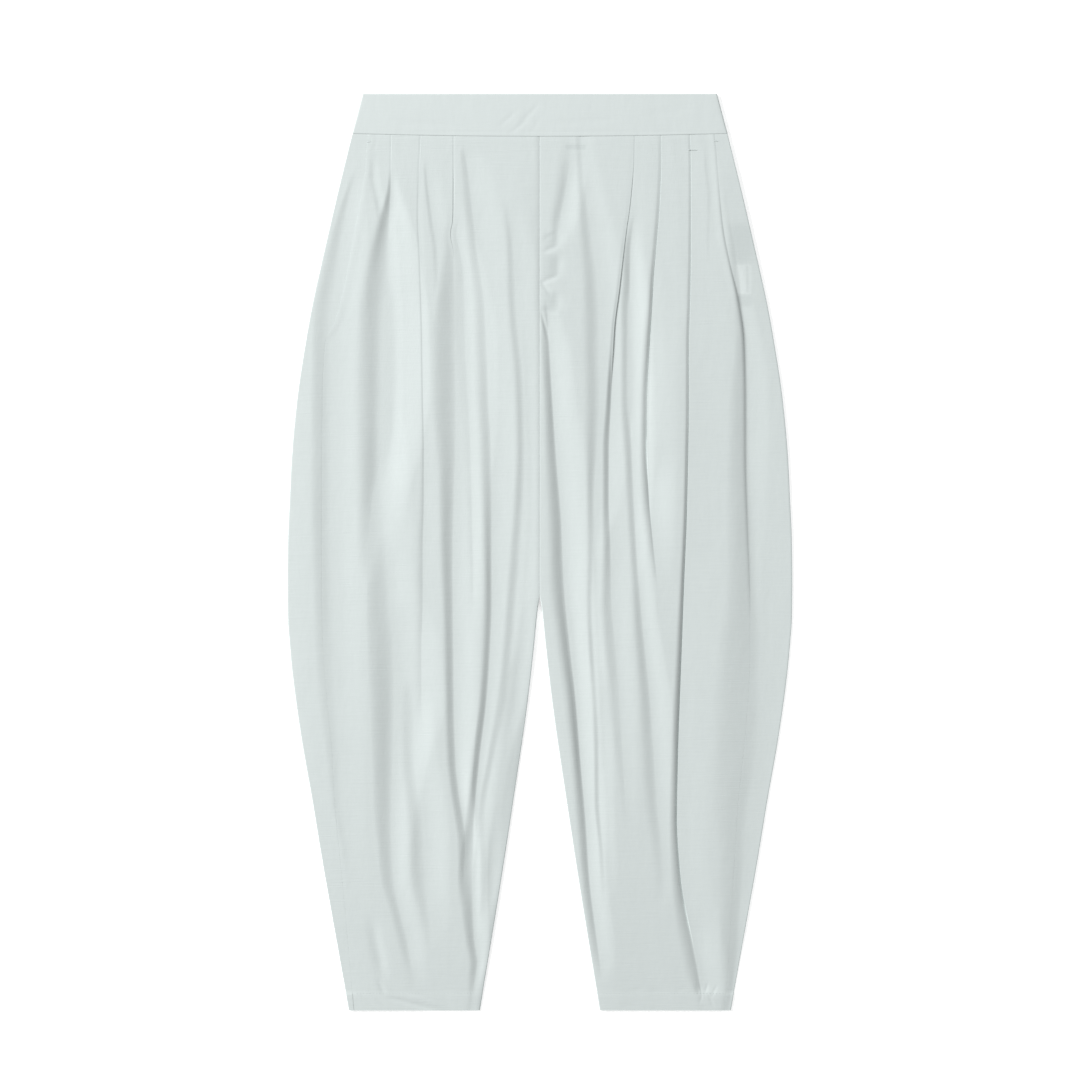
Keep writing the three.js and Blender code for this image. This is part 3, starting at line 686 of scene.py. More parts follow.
class MaterialBoard(NodeBoard):
    """The board of a new material: the place on the surface, and a shader joined to the output."""

    def __init__(self, name: str, **settings: object) -> None:
        """Makes the material.

        Args:
            name: the material's name.
            settings: the shader's inputs by name with spaces as underscores.
        """
        self.material = bpy.data.materials.new(name)
        self.material.use_nodes = True
        super().__init__(self.material.node_tree)
        self.place = self.add("ShaderNodeTexCoord").outputs["Object"]
        self.shader = self.add("ShaderNodeBsdfPrincipled", **settings)
        out = self.add("ShaderNodeOutputMaterial")
        self.link(self.shader.outputs["BSDF"], out.inputs["Surface"])

    def group(self, tree: Tree, **settings: object) -> Node:
        """Adds a shared node group that reads the place on the surface.

        Args:
            tree: the group.
            settings: its inputs by name with spaces as underscores.

        Returns:
            The group's node.
        """
        node = self.add("ShaderNodeGroup", node_tree=tree)
        self.link(self.place, node.inputs["Vector"])
        for key, value in settings.items():
            node.inputs[key.replace("_", " ")].default_value = value
        return node

    def blend(self, shade: Colour, colour: Colour, share: Socket) -> None:
        """Gives the shader a colour between shade and colour.

        Args:
            shade: the colour where share is 0.
            colour: the colour where share is 1.
            share: how far to blend.
        """
        node = self.add("ShaderNodeMix", data_type="RGBA", clamp_factor=True)
        node.inputs["A"].default_value = (*shade, 1.0)
        node.inputs["B"].default_value = (*colour, 1.0)
        self.link(share, node.inputs["Factor"])
        self.link(node.outputs["Result"], self.shader.inputs["Base Color"])

    def bump(self, height: Socket, strength: float) -> None:
        """Gives the shader a fine relief.

        Args:
            height: the relief, in metres.
            strength: how much of it shows.
        """
        node = self.add("ShaderNodeBump", Strength=strength, Distance=1.0)
        self.link(height, node.inputs["Height"])
        self.link(node.outputs["Normal"], self.shader.inputs["Normal"])


def new_group(name: str, inputs: dict[str, str],
              outputs: dict[str, str]) -> tuple[Tree, NodeBoard, Node, Node]:
    """Makes an empty shader node group.

    Args:
        name: the group's name.
        inputs: its inputs' names and socket types.
        outputs: its outputs' names and socket types.

    Returns:
        The group, its board, its input node and its output node.
    """
    tree = bpy.data.node_groups.new(name, "ShaderNodeTree")
    for in_out, sockets in (("INPUT", inputs), ("OUTPUT", outputs)):
        for label, kind in sockets.items():
            tree.interface.new_socket(name=label, in_out=in_out, socket_type=kind)
    board = NodeBoard(tree)
    return tree, board, board.add("NodeGroupInput"), board.add("NodeGroupOutput")


def build_slub_weave() -> Tree:
    """A plain weave with uneven weft threads that run across the garment.

    Returns:
        A group from Vector to Tone, about -1 to 1, and Height, in metres.
    """
    tree, board, given, result = new_group(
        "SlubWeave",
        {"Vector": "NodeSocketVector", "Slub": "NodeSocketFloat"},
        {"Tone": "NodeSocketFloat", "Height": "NodeSocketFloat"},
    )
    place = given.outputs["Vector"]
    slub, weft, warp = [
        board.math("SUBTRACT", board.stretched_noise(place, grain, detail), MIDDLE)
        for grain, detail in ((SLUB_GRAIN, 3.0), (WEFT_GRAIN, 1.0), (WARP_GRAIN, 1.0))
    ]
    slub = board.math("MULTIPLY", slub, given.outputs["Slub"])
    warp = board.math("MULTIPLY", warp, WARP_SHARE)
    tone = board.math("ADD", board.math("ADD", slub, weft), warp)
    board.link(tone, result.inputs["Tone"])
    board.link(board.math("MULTIPLY", tone, WEAVE_HEIGHT), result.inputs["Height"])
    return tree


def build_soft_tone() -> Tree:
    """Slow changes of tone, as in cloth that has been pressed and handled.

    Returns:
        A group from Vector to Tone, about -1 to 1, and Height, in metres.
    """
    tree, board, given, result = new_group(
        "SoftTone",
        {"Vector": "NodeSocketVector"},
        {"Tone": "NodeSocketFloat", "Height": "NodeSocketFloat"},
    )
    place = given.outputs["Vector"]
    broad = board.stretched_noise(place, BROAD_GRAIN, 2.0)
    small = board.stretched_noise(place, SMALL_GRAIN, 3.0)
    both = board.math("ADD", board.math("MULTIPLY", broad, BROAD_SHARE),
                      board.math("MULTIPLY", small, SMALL_SHARE))
    tone = board.math("SUBTRACT", both, MIDDLE * (BROAD_SHARE + SMALL_SHARE))
    board.link(tone, result.inputs["Tone"])
    puckers = board.math("SUBTRACT", small, MIDDLE)
    board.link(board.math("MULTIPLY", puckers, PUCKER_HEIGHT), result.inputs["Height"])
    return tree


def build_soft_patch() -> Tree:
    """A soft-edged upright rectangle, for what lies under thin cloth and shows through it, and for painted
    shade.

    Returns:
        A group from Vector, Centre, Half Width, Half Height and Softness to Mask, 0 to 1.
    """
    tree, board, given, result = new_group(
        "SoftPatch",
        {
            "Vector": "NodeSocketVector",
            "Centre": "NodeSocketVector",
            "Half Width": "NodeSocketFloat",
            "Half Height": "NodeSocketFloat",
            "Softness": "NodeSocketFloat",
        },
        {"Mask": "NodeSocketFloat"},
    )
    offset = board.add("ShaderNodeVectorMath", operation="SUBTRACT")
    board.link(given.outputs["Vector"], offset.inputs[0])
    board.link(given.outputs["Centre"], offset.inputs[1])
    axes = board.add("ShaderNodeSeparateXYZ")
    board.link(offset.outputs[0], axes.inputs[0])
    sides = []
    for axis, half in (("X", "Half Width"), ("Y", "Half Height")):
        away = board.math("ABSOLUTE", axes.outputs[axis])
        inside = board.math("SUBTRACT", given.outputs[half], away)
        share = board.math("DIVIDE", inside, given.outputs["Softness"])
        step = board.add("ShaderNodeMapRange", interpolation_type="SMOOTHSTEP")
        step.inputs["From Min"].default_value = -1.0
        step.inputs["From Max"].default_value = 1.0
        board.link(share, step.inputs["Value"])
        sides.append(step.outputs["Result"])
    board.link(board.math("MULTIPLY", sides[0], sides[1]), result.inputs["Mask"])
    return tree


@dataclass(frozen=True)
class Patch:
    """Something under the cloth that shows through, or painted shade: a place, a size and a change of tone.
    """

    x: float
    up: float
    half_width: float
    half_height: float
    softness: float
    tone: float


@dataclass(frozen=True)
class ClothFinish:
    """A light satin cloth with a fine slub weave."""

    name: str
    colour: Colour
    shade: Colour
    slub: float = 3.4
    patches: tuple[Patch, ...] = ()
    roughness: float = 0.50
    gloss: float = -0.10  # how much smoother the raised threads are
    specular: float = 0.25
    sheen: float = 0.18
    sheen_roughness: float = 0.4
    weave_tone: float = 0.16
    soft_tone: float = 0.20
    relief: float = 0.8

    def material(self, groups: dict[str, Tree]) -> Material:
        """Makes the finish.

        Args:
            groups: the shared node groups by name.

        Returns:
            The material.
        """
        board = MaterialBoard(
            self.name,
            Specular_IOR_Level=self.specular,
            Sheen_Weight=self.sheen,
            Sheen_Roughness=self.sheen_roughness,
        )
        weave = board.group(groups["SlubWeave"], Slub=self.slub)
        soft = board.group(groups["SoftTone"])
        tone = board.math(
            "ADD",
            board.math("MULTIPLY", weave.outputs["Tone"], self.weave_tone),
            board.math("MULTIPLY", soft.outputs["Tone"], self.soft_tone),
        )
        # Patches change the tone: a label showing through, or painted shade.
        for patch in self.patches:
            shape = board.group(
                groups["SoftPatch"],
                Centre=(patch.x, patch.up - LENGTH / 2, 0.0),
                Half_Width=patch.half_width,
                Half_Height=patch.half_height,
                Softness=patch.softness,
            )
            change = board.math("MULTIPLY", shape.outputs["Mask"], patch.tone)
            tone = board.math("ADD", tone, change)
        board.blend(self.shade, self.colour, board.math("ADD", tone, MIDDLE))
        rough = board.math("MULTIPLY", weave.outputs["Tone"], self.gloss)
        board.link(board.math("ADD", rough, self.roughness), board.shader.inputs["Roughness"])
        board.bump(board.math("ADD", weave.outputs["Height"], soft.outputs["Height"]), self.relief)
        return board.material


@dataclass(frozen=True)
class ThreadFinish:
    """Twisted sewing thread."""

    name: str
    colour: Colour
    shade: Colour
    roughness: float = 0.4
    gloss: float = 0.2  # how much rougher the twist's light bands are
    relief: float = 0.6

    def material(self) -> Material:
        """Makes the finish, with the thread's twist as bands and bump.

        Returns:
            The material.
        """
        board = MaterialBoard(self.name)
        twist = board.stretched_noise(board.place, TWIST_GRAIN, 1.0)
        board.blend(self.shade, self.colour, twist)
        rough = board.math("ADD", board.math("MULTIPLY", twist, self.gloss), self.roughness)
        board.link(rough, board.shader.inputs["Roughness"])
        board.bump(board.math("MULTIPLY", twist, TWIST_HEIGHT), self.relief)
        return board.material


# ---- The legs ----


@dataclass
class FoldState:
    """A fold's place and shape at every section height, one value each."""

    fold: Fold
    steep_side: int
    centre: Array
    sink: Array
    inner: Array
    outer: Array
    tuck: Array
    opened: Array
    LIP_SINK = 0.40  # how much of its sink a pressed pleat's lip has
    SOFT_POINT = 0.30  # how round the line of a soft fold is, as a share of its width
    CRISP_POINT = 0.05
    GENTLE_STRAIGHT = 0.45  # how straight the long slope is

    @property
    def pleated(self) -> bool:
        """Whether cloth is folded under it."""
        return self.fold.tuck > 0

    def sink_at(self, x: Array) -> Array:
        """How far the fold sinks the cloth: a short steep slope on one side, a long one on the other.

        Args:
            x: places across, a row for each section height.

        Returns:
            The sink at each place.
        """
        away = x - self.centre[:, None]
        inside = away < 0
        depth = np.broadcast_to(self.sink[:, None], away.shape).copy()
        if self.pleated:
            lip_side = inside if self.fold.lip is Lip.INNER else ~inside
            shallow = mix(self.LIP_SINK, 1.0, self.opened)[:, None]
            depth = np.where(lip_side, depth * shallow, depth)
        point = mix(self.SOFT_POINT, self.CRISP_POINT, self.fold.crisp)
        share = np.hypot(away / np.where(inside, self.inner[:, None], self.outer[:, None]), point)
        share = np.clip((share - point) / (math.hypot(1, point) - point), 0, 1)
        soft = 1 - ease(share)
        steep = mix(soft, (1 - share) ** 2, self.fold.crisp)
        gentle = mix(soft, 1 - share, self.GENTLE_STRAIGHT)
        return depth * np.where(np.sign(away) == self.steep_side, steep, gentle)


@dataclass
class LegCloth:
    """One trouser leg: a front panel with folds, and a back panel that rolls round the outer edge."""

    side: Side
    folds: tuple[Fold, ...]
    drapes: tuple[Fold, ...]
    seam_curve: Curve
    creases: tuple[Crease, ...]
    pocket_lap: float
    pocket_lift: float
    pocket_drop: float
    centre_dip: float
    centre_roll: float
    spacing: float = 0.0015
    EDGE_RAMP = (0.0, 0.0002, 0.0005, 0.0009, 0.0014)
    LEAST_POINTS = 3
    HEM_ROWS = 14
    LOW_ROWS = 160
    FLY_ROWS = 52
    TOP_ROWS = 23
    HEM_TO = 0.030
    FLY_FROM = 0.715
    FLY_TO = 0.830
    HEM_LIFT = 0.0006  # how much higher the hem's turning lies than a single layer
    HEM_STEP = 0.002
    HEM_EDGE = 0.0008  # the outer edge's height above the floor at the hem
    EDGE_RISE = 0.10  # the edge has risen to its full height here
    HEM_CLOTH = 0.0004  # how much thicker the turned cloth is
    HEM_CLOTH_STEP = 0.0016
    HEM_LINE = 0.00015  # how deep the hem's sewing pulls in
    HEM_LINE_WIDTH = 0.0012
    WAVE_FADE = 0.05
    SOFT_SPACE = 0.001
    LAP_WIDTH = 0.0080
    LAP_SPACE = 0.0015
    LAP_BEND = 0.84  # where the lap has risen and its edge turns down again, as a share of it
    LAP_SHARES = (0.0, 0.18, 0.36, 0.54, 0.70, LAP_BEND, 0.93, 1.0)
    CLOSED_LAP = 0.5  # the share of the lap that is left at the waist seam
    LIP_FADE = 0.055
    LIP_CLEAR = 0.0006
    LIP_BACK = 0.3  # the points next to a lip, as a share of LIP_CLEAR
    PRESSED = 0.6  # how much a pleat is pressed together at the waist seam
    PRESSED_UP = 0.862
    PRESSED_FADE = 0.03
    BEND_FLAT = 0.95
    BEND_SHARE = 0.25  # a bend is at most this share of the step from the lip to the layer below
    BESIDE = 0.00001  # near enough to a line to read the cloth's height on one side of it
    BELOW_FLOOR = 0.0002
    OPEN_REACH = 0.0015  # how far a pleat's points spread when it has opened
    PLEAT_MARGIN = 0.0018
    FINE = 0.0002  # between the points at a line
    CROWDING = 0.35  # how much points crowd towards the lines
    POCKET_EASE = 0.012
    POCKET_LATE = 0.2  # the mouth starts to open this much later than it starts to lift
    SEAM_ROLL = 0.0012
    SEAM_SINK = 0.0002
    SEAM_SINK_UP = 0.002
    SIDE_DIP = 0.00004
    SIDE_LOW_UP = 0.48  # the side seam shows less from here down
    SIDE_FADE = 0.15
    SIDE_LEFT_OUT = 0.6
    SEWN_FADE = 0.008
    CROTCH_FADE = 0.02
    EDGE_LOW = 0.0006  # the inner edge's height
    WAIST_FADE = 0.02
    UNDER_FADE = 0.04
    UNDER_WAIST_FADE = 0.03
    ROLL_TURN = 75.0  # degrees
    ROLL_POINTS = 9
    SIDE_POINTS = 30
    SIDE_CROWDING = 1.15  # how much points crowd towards the side seam
    UNDER_POINTS = 44

    def __post_init__(self) -> None:
        """Works out the section heights and the folds at each of them."""
        top = WAIST_SEAM_UP - SEAM_GAP / 2
        self.up = np.concatenate([
            np.linspace(0.0, self.HEM_TO, self.HEM_ROWS, endpoint=False),
            np.linspace(self.HEM_TO, self.FLY_FROM, self.LOW_ROWS, endpoint=False),
            np.linspace(self.FLY_FROM, self.FLY_TO, self.FLY_ROWS, endpoint=False),
            np.linspace(self.FLY_TO, top, self.TOP_ROWS),
        ])
        edge = np.maximum(INNER_EDGE.at(self.up), SEAM_GAP / 2)
        self.inner = np.where(self.up >= CROTCH_UP, SEAM_GAP / 2, edge)
        self.outer = OUTER_HALF.at(self.up)
        self.seam = self.seam_curve.at(self.up)
        self.floor = FLOOR + self.HEM_LIFT * ease((HEM_DEPTH - self.up) / self.HEM_STEP + 0.5)
        self.states = [self.state_of(fold) for fold in self.folds]
        self.loose = [self.state_of(fold) for fold in self.drapes]
        self.keep_apart()

    def state_of(self, fold: Fold) -> FoldState:
        """Reads a fold's rows at every section height.

        Args:
            fold: the fold.

        Returns:
            Its state.
        """
        ups = fold.column("up")
        nearest = np.clip(self.up, min(ups), max(ups))
        inner = np.where(nearest >= CROTCH_UP, 0.0, INNER_EDGE.at(nearest))
        share = (fold.curve("x").at(nearest) - inner) / (OUTER_HALF.at(nearest) - inner)
        left = np.zeros_like(self.up)
        opened = np.ones_like(self.up)
        if fold.tuck:
            tuck_to = fold.tuck_to / 1000
            left = np.clip((self.up - tuck_to) / (WAIST_SEAM_UP - tuck_to), 0, 1)
            opened = ease((tuck_to - self.up) / self.LIP_FADE)
        return FoldState(
            fold=fold,
            steep_side=-self.side.value,
            centre=mix(self.inner, self.outer, share),
            sink=DEPTH * np.maximum(fold.curve("sink").at(self.up), 0.0),
            inner=fold.curve("inner").at(self.up) * (STEEP if self.side is Side.LEFT else GENTLE),
            outer=fold.curve("outer").at(self.up) * (GENTLE if self.side is Side.LEFT else STEEP),
            tuck=fold.tuck / 1000 * np.sqrt(left),
            opened=opened,
        )

    def keep_apart(self) -> None:
        """Moves fold lines that come too close to each other or to the panel's edges."""
        spaces = [mix(PLEAT_SPACE if state.pleated else RUN_OUT_SPACE, FOLD_SPACE,
                      ease(state.sink / SHALLOW)) for state in self.states]
        lowest = self.inner + EDGE_SPACE
        for state, space in zip(self.states, spaces):
            state.centre = soft_max(state.centre, lowest, self.SOFT_SPACE)
            lowest = state.centre + space
        highest = self.seam - self.LAP_WIDTH - self.LAP_SPACE
        for state, space in zip(reversed(self.states), reversed(spaces)):
            state.centre = -soft_max(-state.centre, -highest, self.SOFT_SPACE)
            highest = state.centre - space

    def loft(self, x: Array) -> Array:
        """The front layer's height with no folds in it.

        Args:
            x: places across, a row for each section height.

        Returns:
            The height at each place.
        """
        up = self.up[:, None]
        floor = self.floor[:, None]
        low = np.maximum(SEAM_LOFT.at(up), floor)
        edge = mix(floor + self.HEM_EDGE, CLOTH / 2 + EDGE_HEIGHT, ease(up / self.EDGE_RISE))
        edge = np.maximum(edge, floor)
        crown = np.maximum(CROWN_LOFT.at(up), edge)
        from_seam = mix(low, crown, round_off((x - self.inner[:, None]) / INNER_RISE))
        out = self.outer[:, None] - EDGE_ROLL - x
        from_edge = mix(edge, crown, round_off(out / OUTER_RISE))
        return -soft_max(-from_seam, -from_edge)

    def height(self, x: Array) -> Array:
        """The front layer's height with its folds, creases and slight waviness.

        Args:
            x: places across, a row for each section height.

        Returns:
            The height at each place.
        """
        up = self.up[:, None]
        sunk = sum(state.sink_at(x) for state in (*self.states, *self.loose))
        wave = WAVE * unevenness(self.side.value * x, up)
        wave *= ease((WAIST_SEAM_UP - up) / self.WAVE_FADE)
        raised = soft_max(self.loft(x) + wave - sunk, self.floor[:, None])
        return raised + relief(self.creases, x, up)

    def column(self, x: Array) -> Array:
        """Turns places across into points (x and height)."""
        return np.stack([x, self.height(x)], axis=2)

    def pleat_points(self, state: FoldState) -> Array:
        """The points across a pleat: lip, layer folded under, and the layer below.

        Args:
            state: the pleat.

        Returns:
            An array of sections, points and (x, height).
        """
        side = state.fold.lip.value
        centre = state.centre
        lip_side = self.height((centre - side * self.BESIDE)[:, None])[:, 0]
        open_side = self.height((centre + side * self.BESIDE)[:, None])[:, 0]
        pressed = 1 - self.PRESSED * ease((self.up - self.PRESSED_UP) / self.PRESSED_FADE)
        least = 2 * PITCH * (1 - state.opened) * pressed
        bottom = np.maximum(np.minimum(open_side, lip_side - least), self.floor - self.BELOW_FLOOR)
        lip = np.maximum(lip_side, bottom + least)
        bend = np.minimum(BEND, self.BEND_SHARE * (lip - bottom))
        turn = np.minimum(BEND, state.tuck / 2)
        clear = np.full_like(turn, self.LIP_CLEAR)
        under = bottom + (1 - self.BEND_FLAT) * bend
        outline: list[tuple[Array, Array]] = [(-clear, lip), (-self.LIP_BACK * clear, lip)]
        for a in np.radians(np.linspace(90, -90, 6)):
            reach = turn if a < 0 else np.full_like(turn, BEND)
            outline.append((-reach + reach * math.cos(a),
                            lip - bend + bend * math.sin(a) * self.BEND_FLAT))
        for a in np.radians(np.linspace(90, 270, 5)):
            outline.append((turn - state.tuck + turn * math.cos(a),
                            bottom + bend + bend * math.sin(a) * self.BEND_FLAT))
        outline += [(self.LIP_BACK * clear, under), (clear, under)]
        levels = np.linspace(-self.OPEN_REACH, self.OPEN_REACH, len(outline))
        points = []
        for (across, height), level in zip(outline, levels):
            flat_height = self.height((centre + side * level)[:, None])[:, 0]
            x = centre + side * mix(across, level, state.opened)
            points.append(np.stack([x, mix(height, flat_height, state.opened)], axis=1))
        ordered = points if side > 0 else points[::-1]
        return np.stack(ordered, axis=1)

    def between(self, start: Array, end: Array) -> Array:
        """The points of the cloth from one fold to the next.

        Args:
            start: where the stretch starts, for each section.
            end: where it ends.

        Returns:
            An array of sections, points and (x, height).
        """
        count = max(self.LEAST_POINTS, round(float(np.mean(end - start)) / self.spacing))
        even = (np.arange(count) + 0.5) / count
        share = mix(even, (1 - np.cos(math.pi * even)) / 2, self.CROWDING)
        return self.column(mix(start[:, None], end[:, None], share[None, :]))

    def front_middle(self) -> Array:
        """Works out the front panel's middle.

        Returns:
            The sections' places (x, y, z), from the inner edge to the side seam.
        """
        ramp = np.array(self.EDGE_RAMP)
        parts = [self.column(self.inner[:, None] + ramp[None, :])]
        start = self.inner + ramp[-1] + self.FINE
        for state in self.states:
            gap = self.PLEAT_MARGIN if state.pleated else self.FINE
            parts.append(self.between(start, state.centre - gap))
            one = self.column(state.centre[:, None])
            parts.append(self.pleat_points(state) if state.pleated else one)
            start = state.centre + gap
        parts.append(self.between(start, self.seam - self.LAP_WIDTH - 2 * self.FINE))
        parts.append(self.lap_points())
        return self.placed(self.dipped(np.concatenate(parts, axis=1)))

    def lap_points(self) -> Array:
        """The front panel's last points, which lap over the side seam at the pocket mouth.

        Returns:
            An array of sections, points and (x, height).
        """
        above = self.up - POCKET_END_UP
        out = ease(above / self.POCKET_EASE / 3 - self.POCKET_LATE)
        closing = ease((WAIST_SEAM_UP - self.up) / self.WAIST_FADE)
        lift = (PITCH + self.pocket_lift * closing) * np.clip(above / self.POCKET_EASE, 0, 1)
        end = self.seam - SIDE_GAP / 2 + self.pocket_lap * out * mix(self.CLOSED_LAP, 1.0, closing)
        shares = np.array(self.LAP_SHARES)
        start = self.seam - self.LAP_WIDTH
        points = self.column(mix(start[:, None], end[:, None], shares[None, :]))
        points[..., 1] += lift[:, None] * ease(shares / self.LAP_BEND)[None, :]
        turned = ease((shares - self.LAP_BEND) / (1 - self.LAP_BEND))[None, :]
        points[..., 1] -= self.pocket_drop * turned * out[:, None]
        return points

    def dipped(self, section: Array) -> Array:
        """Rolls the cloth down at its sewn edges.

        Args:
            section: the points (x, height).

        Returns:
            The points, lowered at the sewn edges and along the hem's turning.
        """
        result = section.copy()
        sewn = ease((POCKET_END_UP - self.up) / self.SEWN_FADE + 0.5)
        fades = 1 - self.SIDE_LEFT_OUT * ease((self.SIDE_LOW_UP - self.up) / self.SIDE_FADE)
        edges = ((self.inner, np.full_like(self.up, self.centre_dip), self.centre_roll),
                 (self.seam, self.SIDE_DIP * sewn * fades, self.SEAM_ROLL))
        for edge, dip, roll in edges:
            near = np.clip(1 - np.abs(section[..., 0] - edge[:, None]) / roll, 0, 1)
            result[..., 1] -= dip[:, None] * near**2
        drop = near_edge(np.clip((section[..., 0] - self.inner[:, None]) / INNER_ROLL, 0, 1))
        drop *= ease((CROTCH_UP - self.up) / self.CROTCH_FADE)[:, None]
        result[..., 1] = mix(result[..., 1], np.minimum(result[..., 1], self.EDGE_LOW), drop)
        top = np.clip(1 - (WAIST_SEAM_UP - self.up) / self.SEAM_SINK_UP, 0, 1)[:, None]
        hem_line = np.exp(-(((self.up - HEM_DEPTH) / self.HEM_LINE_WIDTH) ** 2))[:, None]
        result[..., 1] -= self.SEAM_SINK * top**2 + self.HEM_LINE * hem_line
        return result

    def placed(self, section: Array) -> Array:
        """Puts sections in the frame.

        Args:
            section: the points (x, height).

        Returns:
            Their places (x, y, z).
        """
        x, z = section[..., 0], section[..., 1]
        up = np.broadcast_to(self.up[:, None], x.shape)
        rise = ease((up - HIP_UP) / (WAIST_SEAM_UP - HIP_UP))
        return np.stack([self.side.value * x, up + rise * seam_rise(x) - LENGTH / 2, z], axis=2)

    def back_middle(self) -> Array:
        """Works out the back panel's middle.

        Returns:
            The sections' places (x, y, z), from the side seam round the outer edge to the inner edge.
        """
        roll = self.outer - CLOTH / 2 - EDGE_ROLL
        shares = np.linspace(0, 1, self.SIDE_POINTS) ** self.SIDE_CROWDING
        x = mix((self.seam + SIDE_GAP / 2)[:, None], roll[:, None], shares[None, :])
        upper = self.dipped(self.column(x))
        top = upper[:, -1, 1]
        bottom = CLOTH / 2
        turn = np.radians(np.linspace(self.ROLL_TURN, -self.ROLL_TURN, self.ROLL_POINTS))
        ring_x = roll[:, None] + EDGE_ROLL * np.cos(turn)[None, :]
        middle, half = (top + bottom) / 2, (top - bottom) / 2
        ring_z = middle[:, None] + half[:, None] * np.sin(turn)[None, :]
        ring = np.stack([ring_x, ring_z], axis=2)
        across = np.linspace(0, 1, self.UNDER_POINTS)
        under_x = mix(roll[:, None], self.inner[:, None], across[None, :])
        lift = relief(BACK_CREASES, under_x, self.up[:, None])
        fade = ease(self.up / self.UNDER_FADE)
        lift *= (fade * ease((WAIST_SEAM_UP - self.up) / self.UNDER_WAIST_FADE))[:, None]
        lower = np.stack([under_x, bottom + lift], axis=2)
        return self.placed(np.concatenate([upper, ring, lower], axis=1))

    def build(self, kind: str, middle: Array, material: Material) -> Piece:
        """Makes one panel as a shell and puts it in the frame.

        Args:
            kind: front or back.
            middle: the panel's middle.
            material: its finish.

        Returns:
            The panel.
        """
        hem = self.HEM_CLOTH * ease((HEM_DEPTH - self.up) / self.HEM_CLOTH_STEP + 0.5)
        thickness = np.broadcast_to((CLOTH + hem)[:, None], middle.shape[:2])
        node = f"{kind}_{self.side.label}"
        if kind == "back":
            middle = middle + np.array([0.0, 0.0, 0.5]) * hem[:, None, None]
        panel = shell(f"{node}_cloth", middle, thickness, flip=self.side is Side.RIGHT)
        panel.data.materials.append(material)
        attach(panel, "root")
        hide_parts(node)
        return panel

    def surface_height(self, x: float, up: float) -> float:
        """How high the front layer's middle lies, for sewing on it.

        Args:
            x: the distance from the centre line.
            up: the height above the hem.

        Returns:
            The height above the floor at the nearest section.
        """
        row = int(np.argmin(np.abs(self.up - up)))
        return float(self.height(np.full((len(self.up), 1), x))[row, 0])


def make_legs() -> tuple[LegCloth, LegCloth]:
    """Makes the two legs.

    Returns:
        The left and the right leg.
    """
    left = LegCloth(Side.LEFT, LEFT_FOLDS, LEFT_DRAPES, LEFT_SEAM, LEFT_CREASES,
                    pocket_lap=0.0014, pocket_lift=0.00004, pocket_drop=0.0002,
                    centre_dip=0.00008, centre_roll=0.0012)
    right = LegCloth(Side.RIGHT, RIGHT_FOLDS, RIGHT_DRAPES, RIGHT_SEAM, RIGHT_CREASES,
                     pocket_lap=0.0020, pocket_lift=0.0, pocket_drop=0.00003,
                     centre_dip=0.00040, centre_roll=0.0050)
    return left, right


# ---- The waistband ----


@dataclass
class Waistband:
    """One half of the doubled waistband, front or back."""

    node: str
    low: float
    high: float
    creases: tuple[Crease, ...]
    columns: int = 200
    rows: int = 40
    EDGE_ROUND = 0.0011
    SEAM_ROUND = 0.0005
    SEAM_THIN = 0.35  # how far the band thins towards the waist seam
    THIN = 0.92  # the same for its other edges
    CROWDING = 0.6  # how much rows crowd towards the long edges
    END_CROWDING = 1.25  # the same for columns towards the ends
    FADE = 0.004
    BULGE = 0.0001
    WAVE = 0.00015
    MEAN_WIDTH = 0.96  # the band's mean width as a share of its width at the waist seam

    def surface(self, top: bool) -> Array:
        """The band's upper or lower face.

        Args:
            top: whether it is the upper face.

        Returns:
            An array of rows, columns and places.
        """
        across = np.linspace(-1, 1, self.columns)
        across = np.sign(across) * (1 - (1 - np.abs(across)) ** self.END_CROWDING)
        raised = (1 - np.cos(np.linspace(0, math.pi, self.rows))) / 2
        raised = mix(np.linspace(0, 1, self.rows), raised, self.CROWDING)
        half = OUTER_HALF.at(WAIST_SEAM_UP + raised * (LENGTH - WAIST_SEAM_UP))
        x = across[None, :] * half[:, None]
        seam = WAIST_SEAM_UP + seam_rise(x)
        up = mix(seam + SEAM_GAP, LENGTH, raised[:, None])
        inset = np.minimum(half[:, None] - np.abs(x), LENGTH - up)
        from_seam = up - seam - SEAM_GAP
        share = np.minimum(inset / self.EDGE_ROUND, 1)
        at_seam = self.SEAM_THIN * (1 - np.clip(from_seam / self.SEAM_ROUND, 0, 1)) ** 2
        roundness = np.maximum(near_edge(share), at_seam)
        inset = np.minimum(inset, from_seam)
        middle = (self.low + self.high) / 2
        reach = (self.high - self.low) / 2 * (1 - self.THIN * roundness)
        if not top:
            return np.stack([x, up - LENGTH / 2, middle - reach], axis=2)
        fade = ease(inset / self.FADE)
        bulge = self.WAVE * unevenness(x, up) + self.BULGE * np.sin(math.pi * raised)[:, None]
        wrinkles = relief(self.creases, x, up) + bulge
        return np.stack([x, up - LENGTH / 2, middle + reach + wrinkles * fade], axis=2)

    def build(self, material: Material) -> Piece:
        """Makes the band and puts it in the frame.

        Args:
            material: its finish.

        Returns:
            The band.
        """
        upper, lower = self.surface(True), self.surface(False)
        band = join_grids(f"{self.node}_cloth", upper, lower)
        band.data.materials.append(material)
        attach(band, "root")
        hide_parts(self.node)
        width = 2 * float(OUTER_HALF.at(WAIST_SEAM_UP))
        return band


# ---- Sewing ----


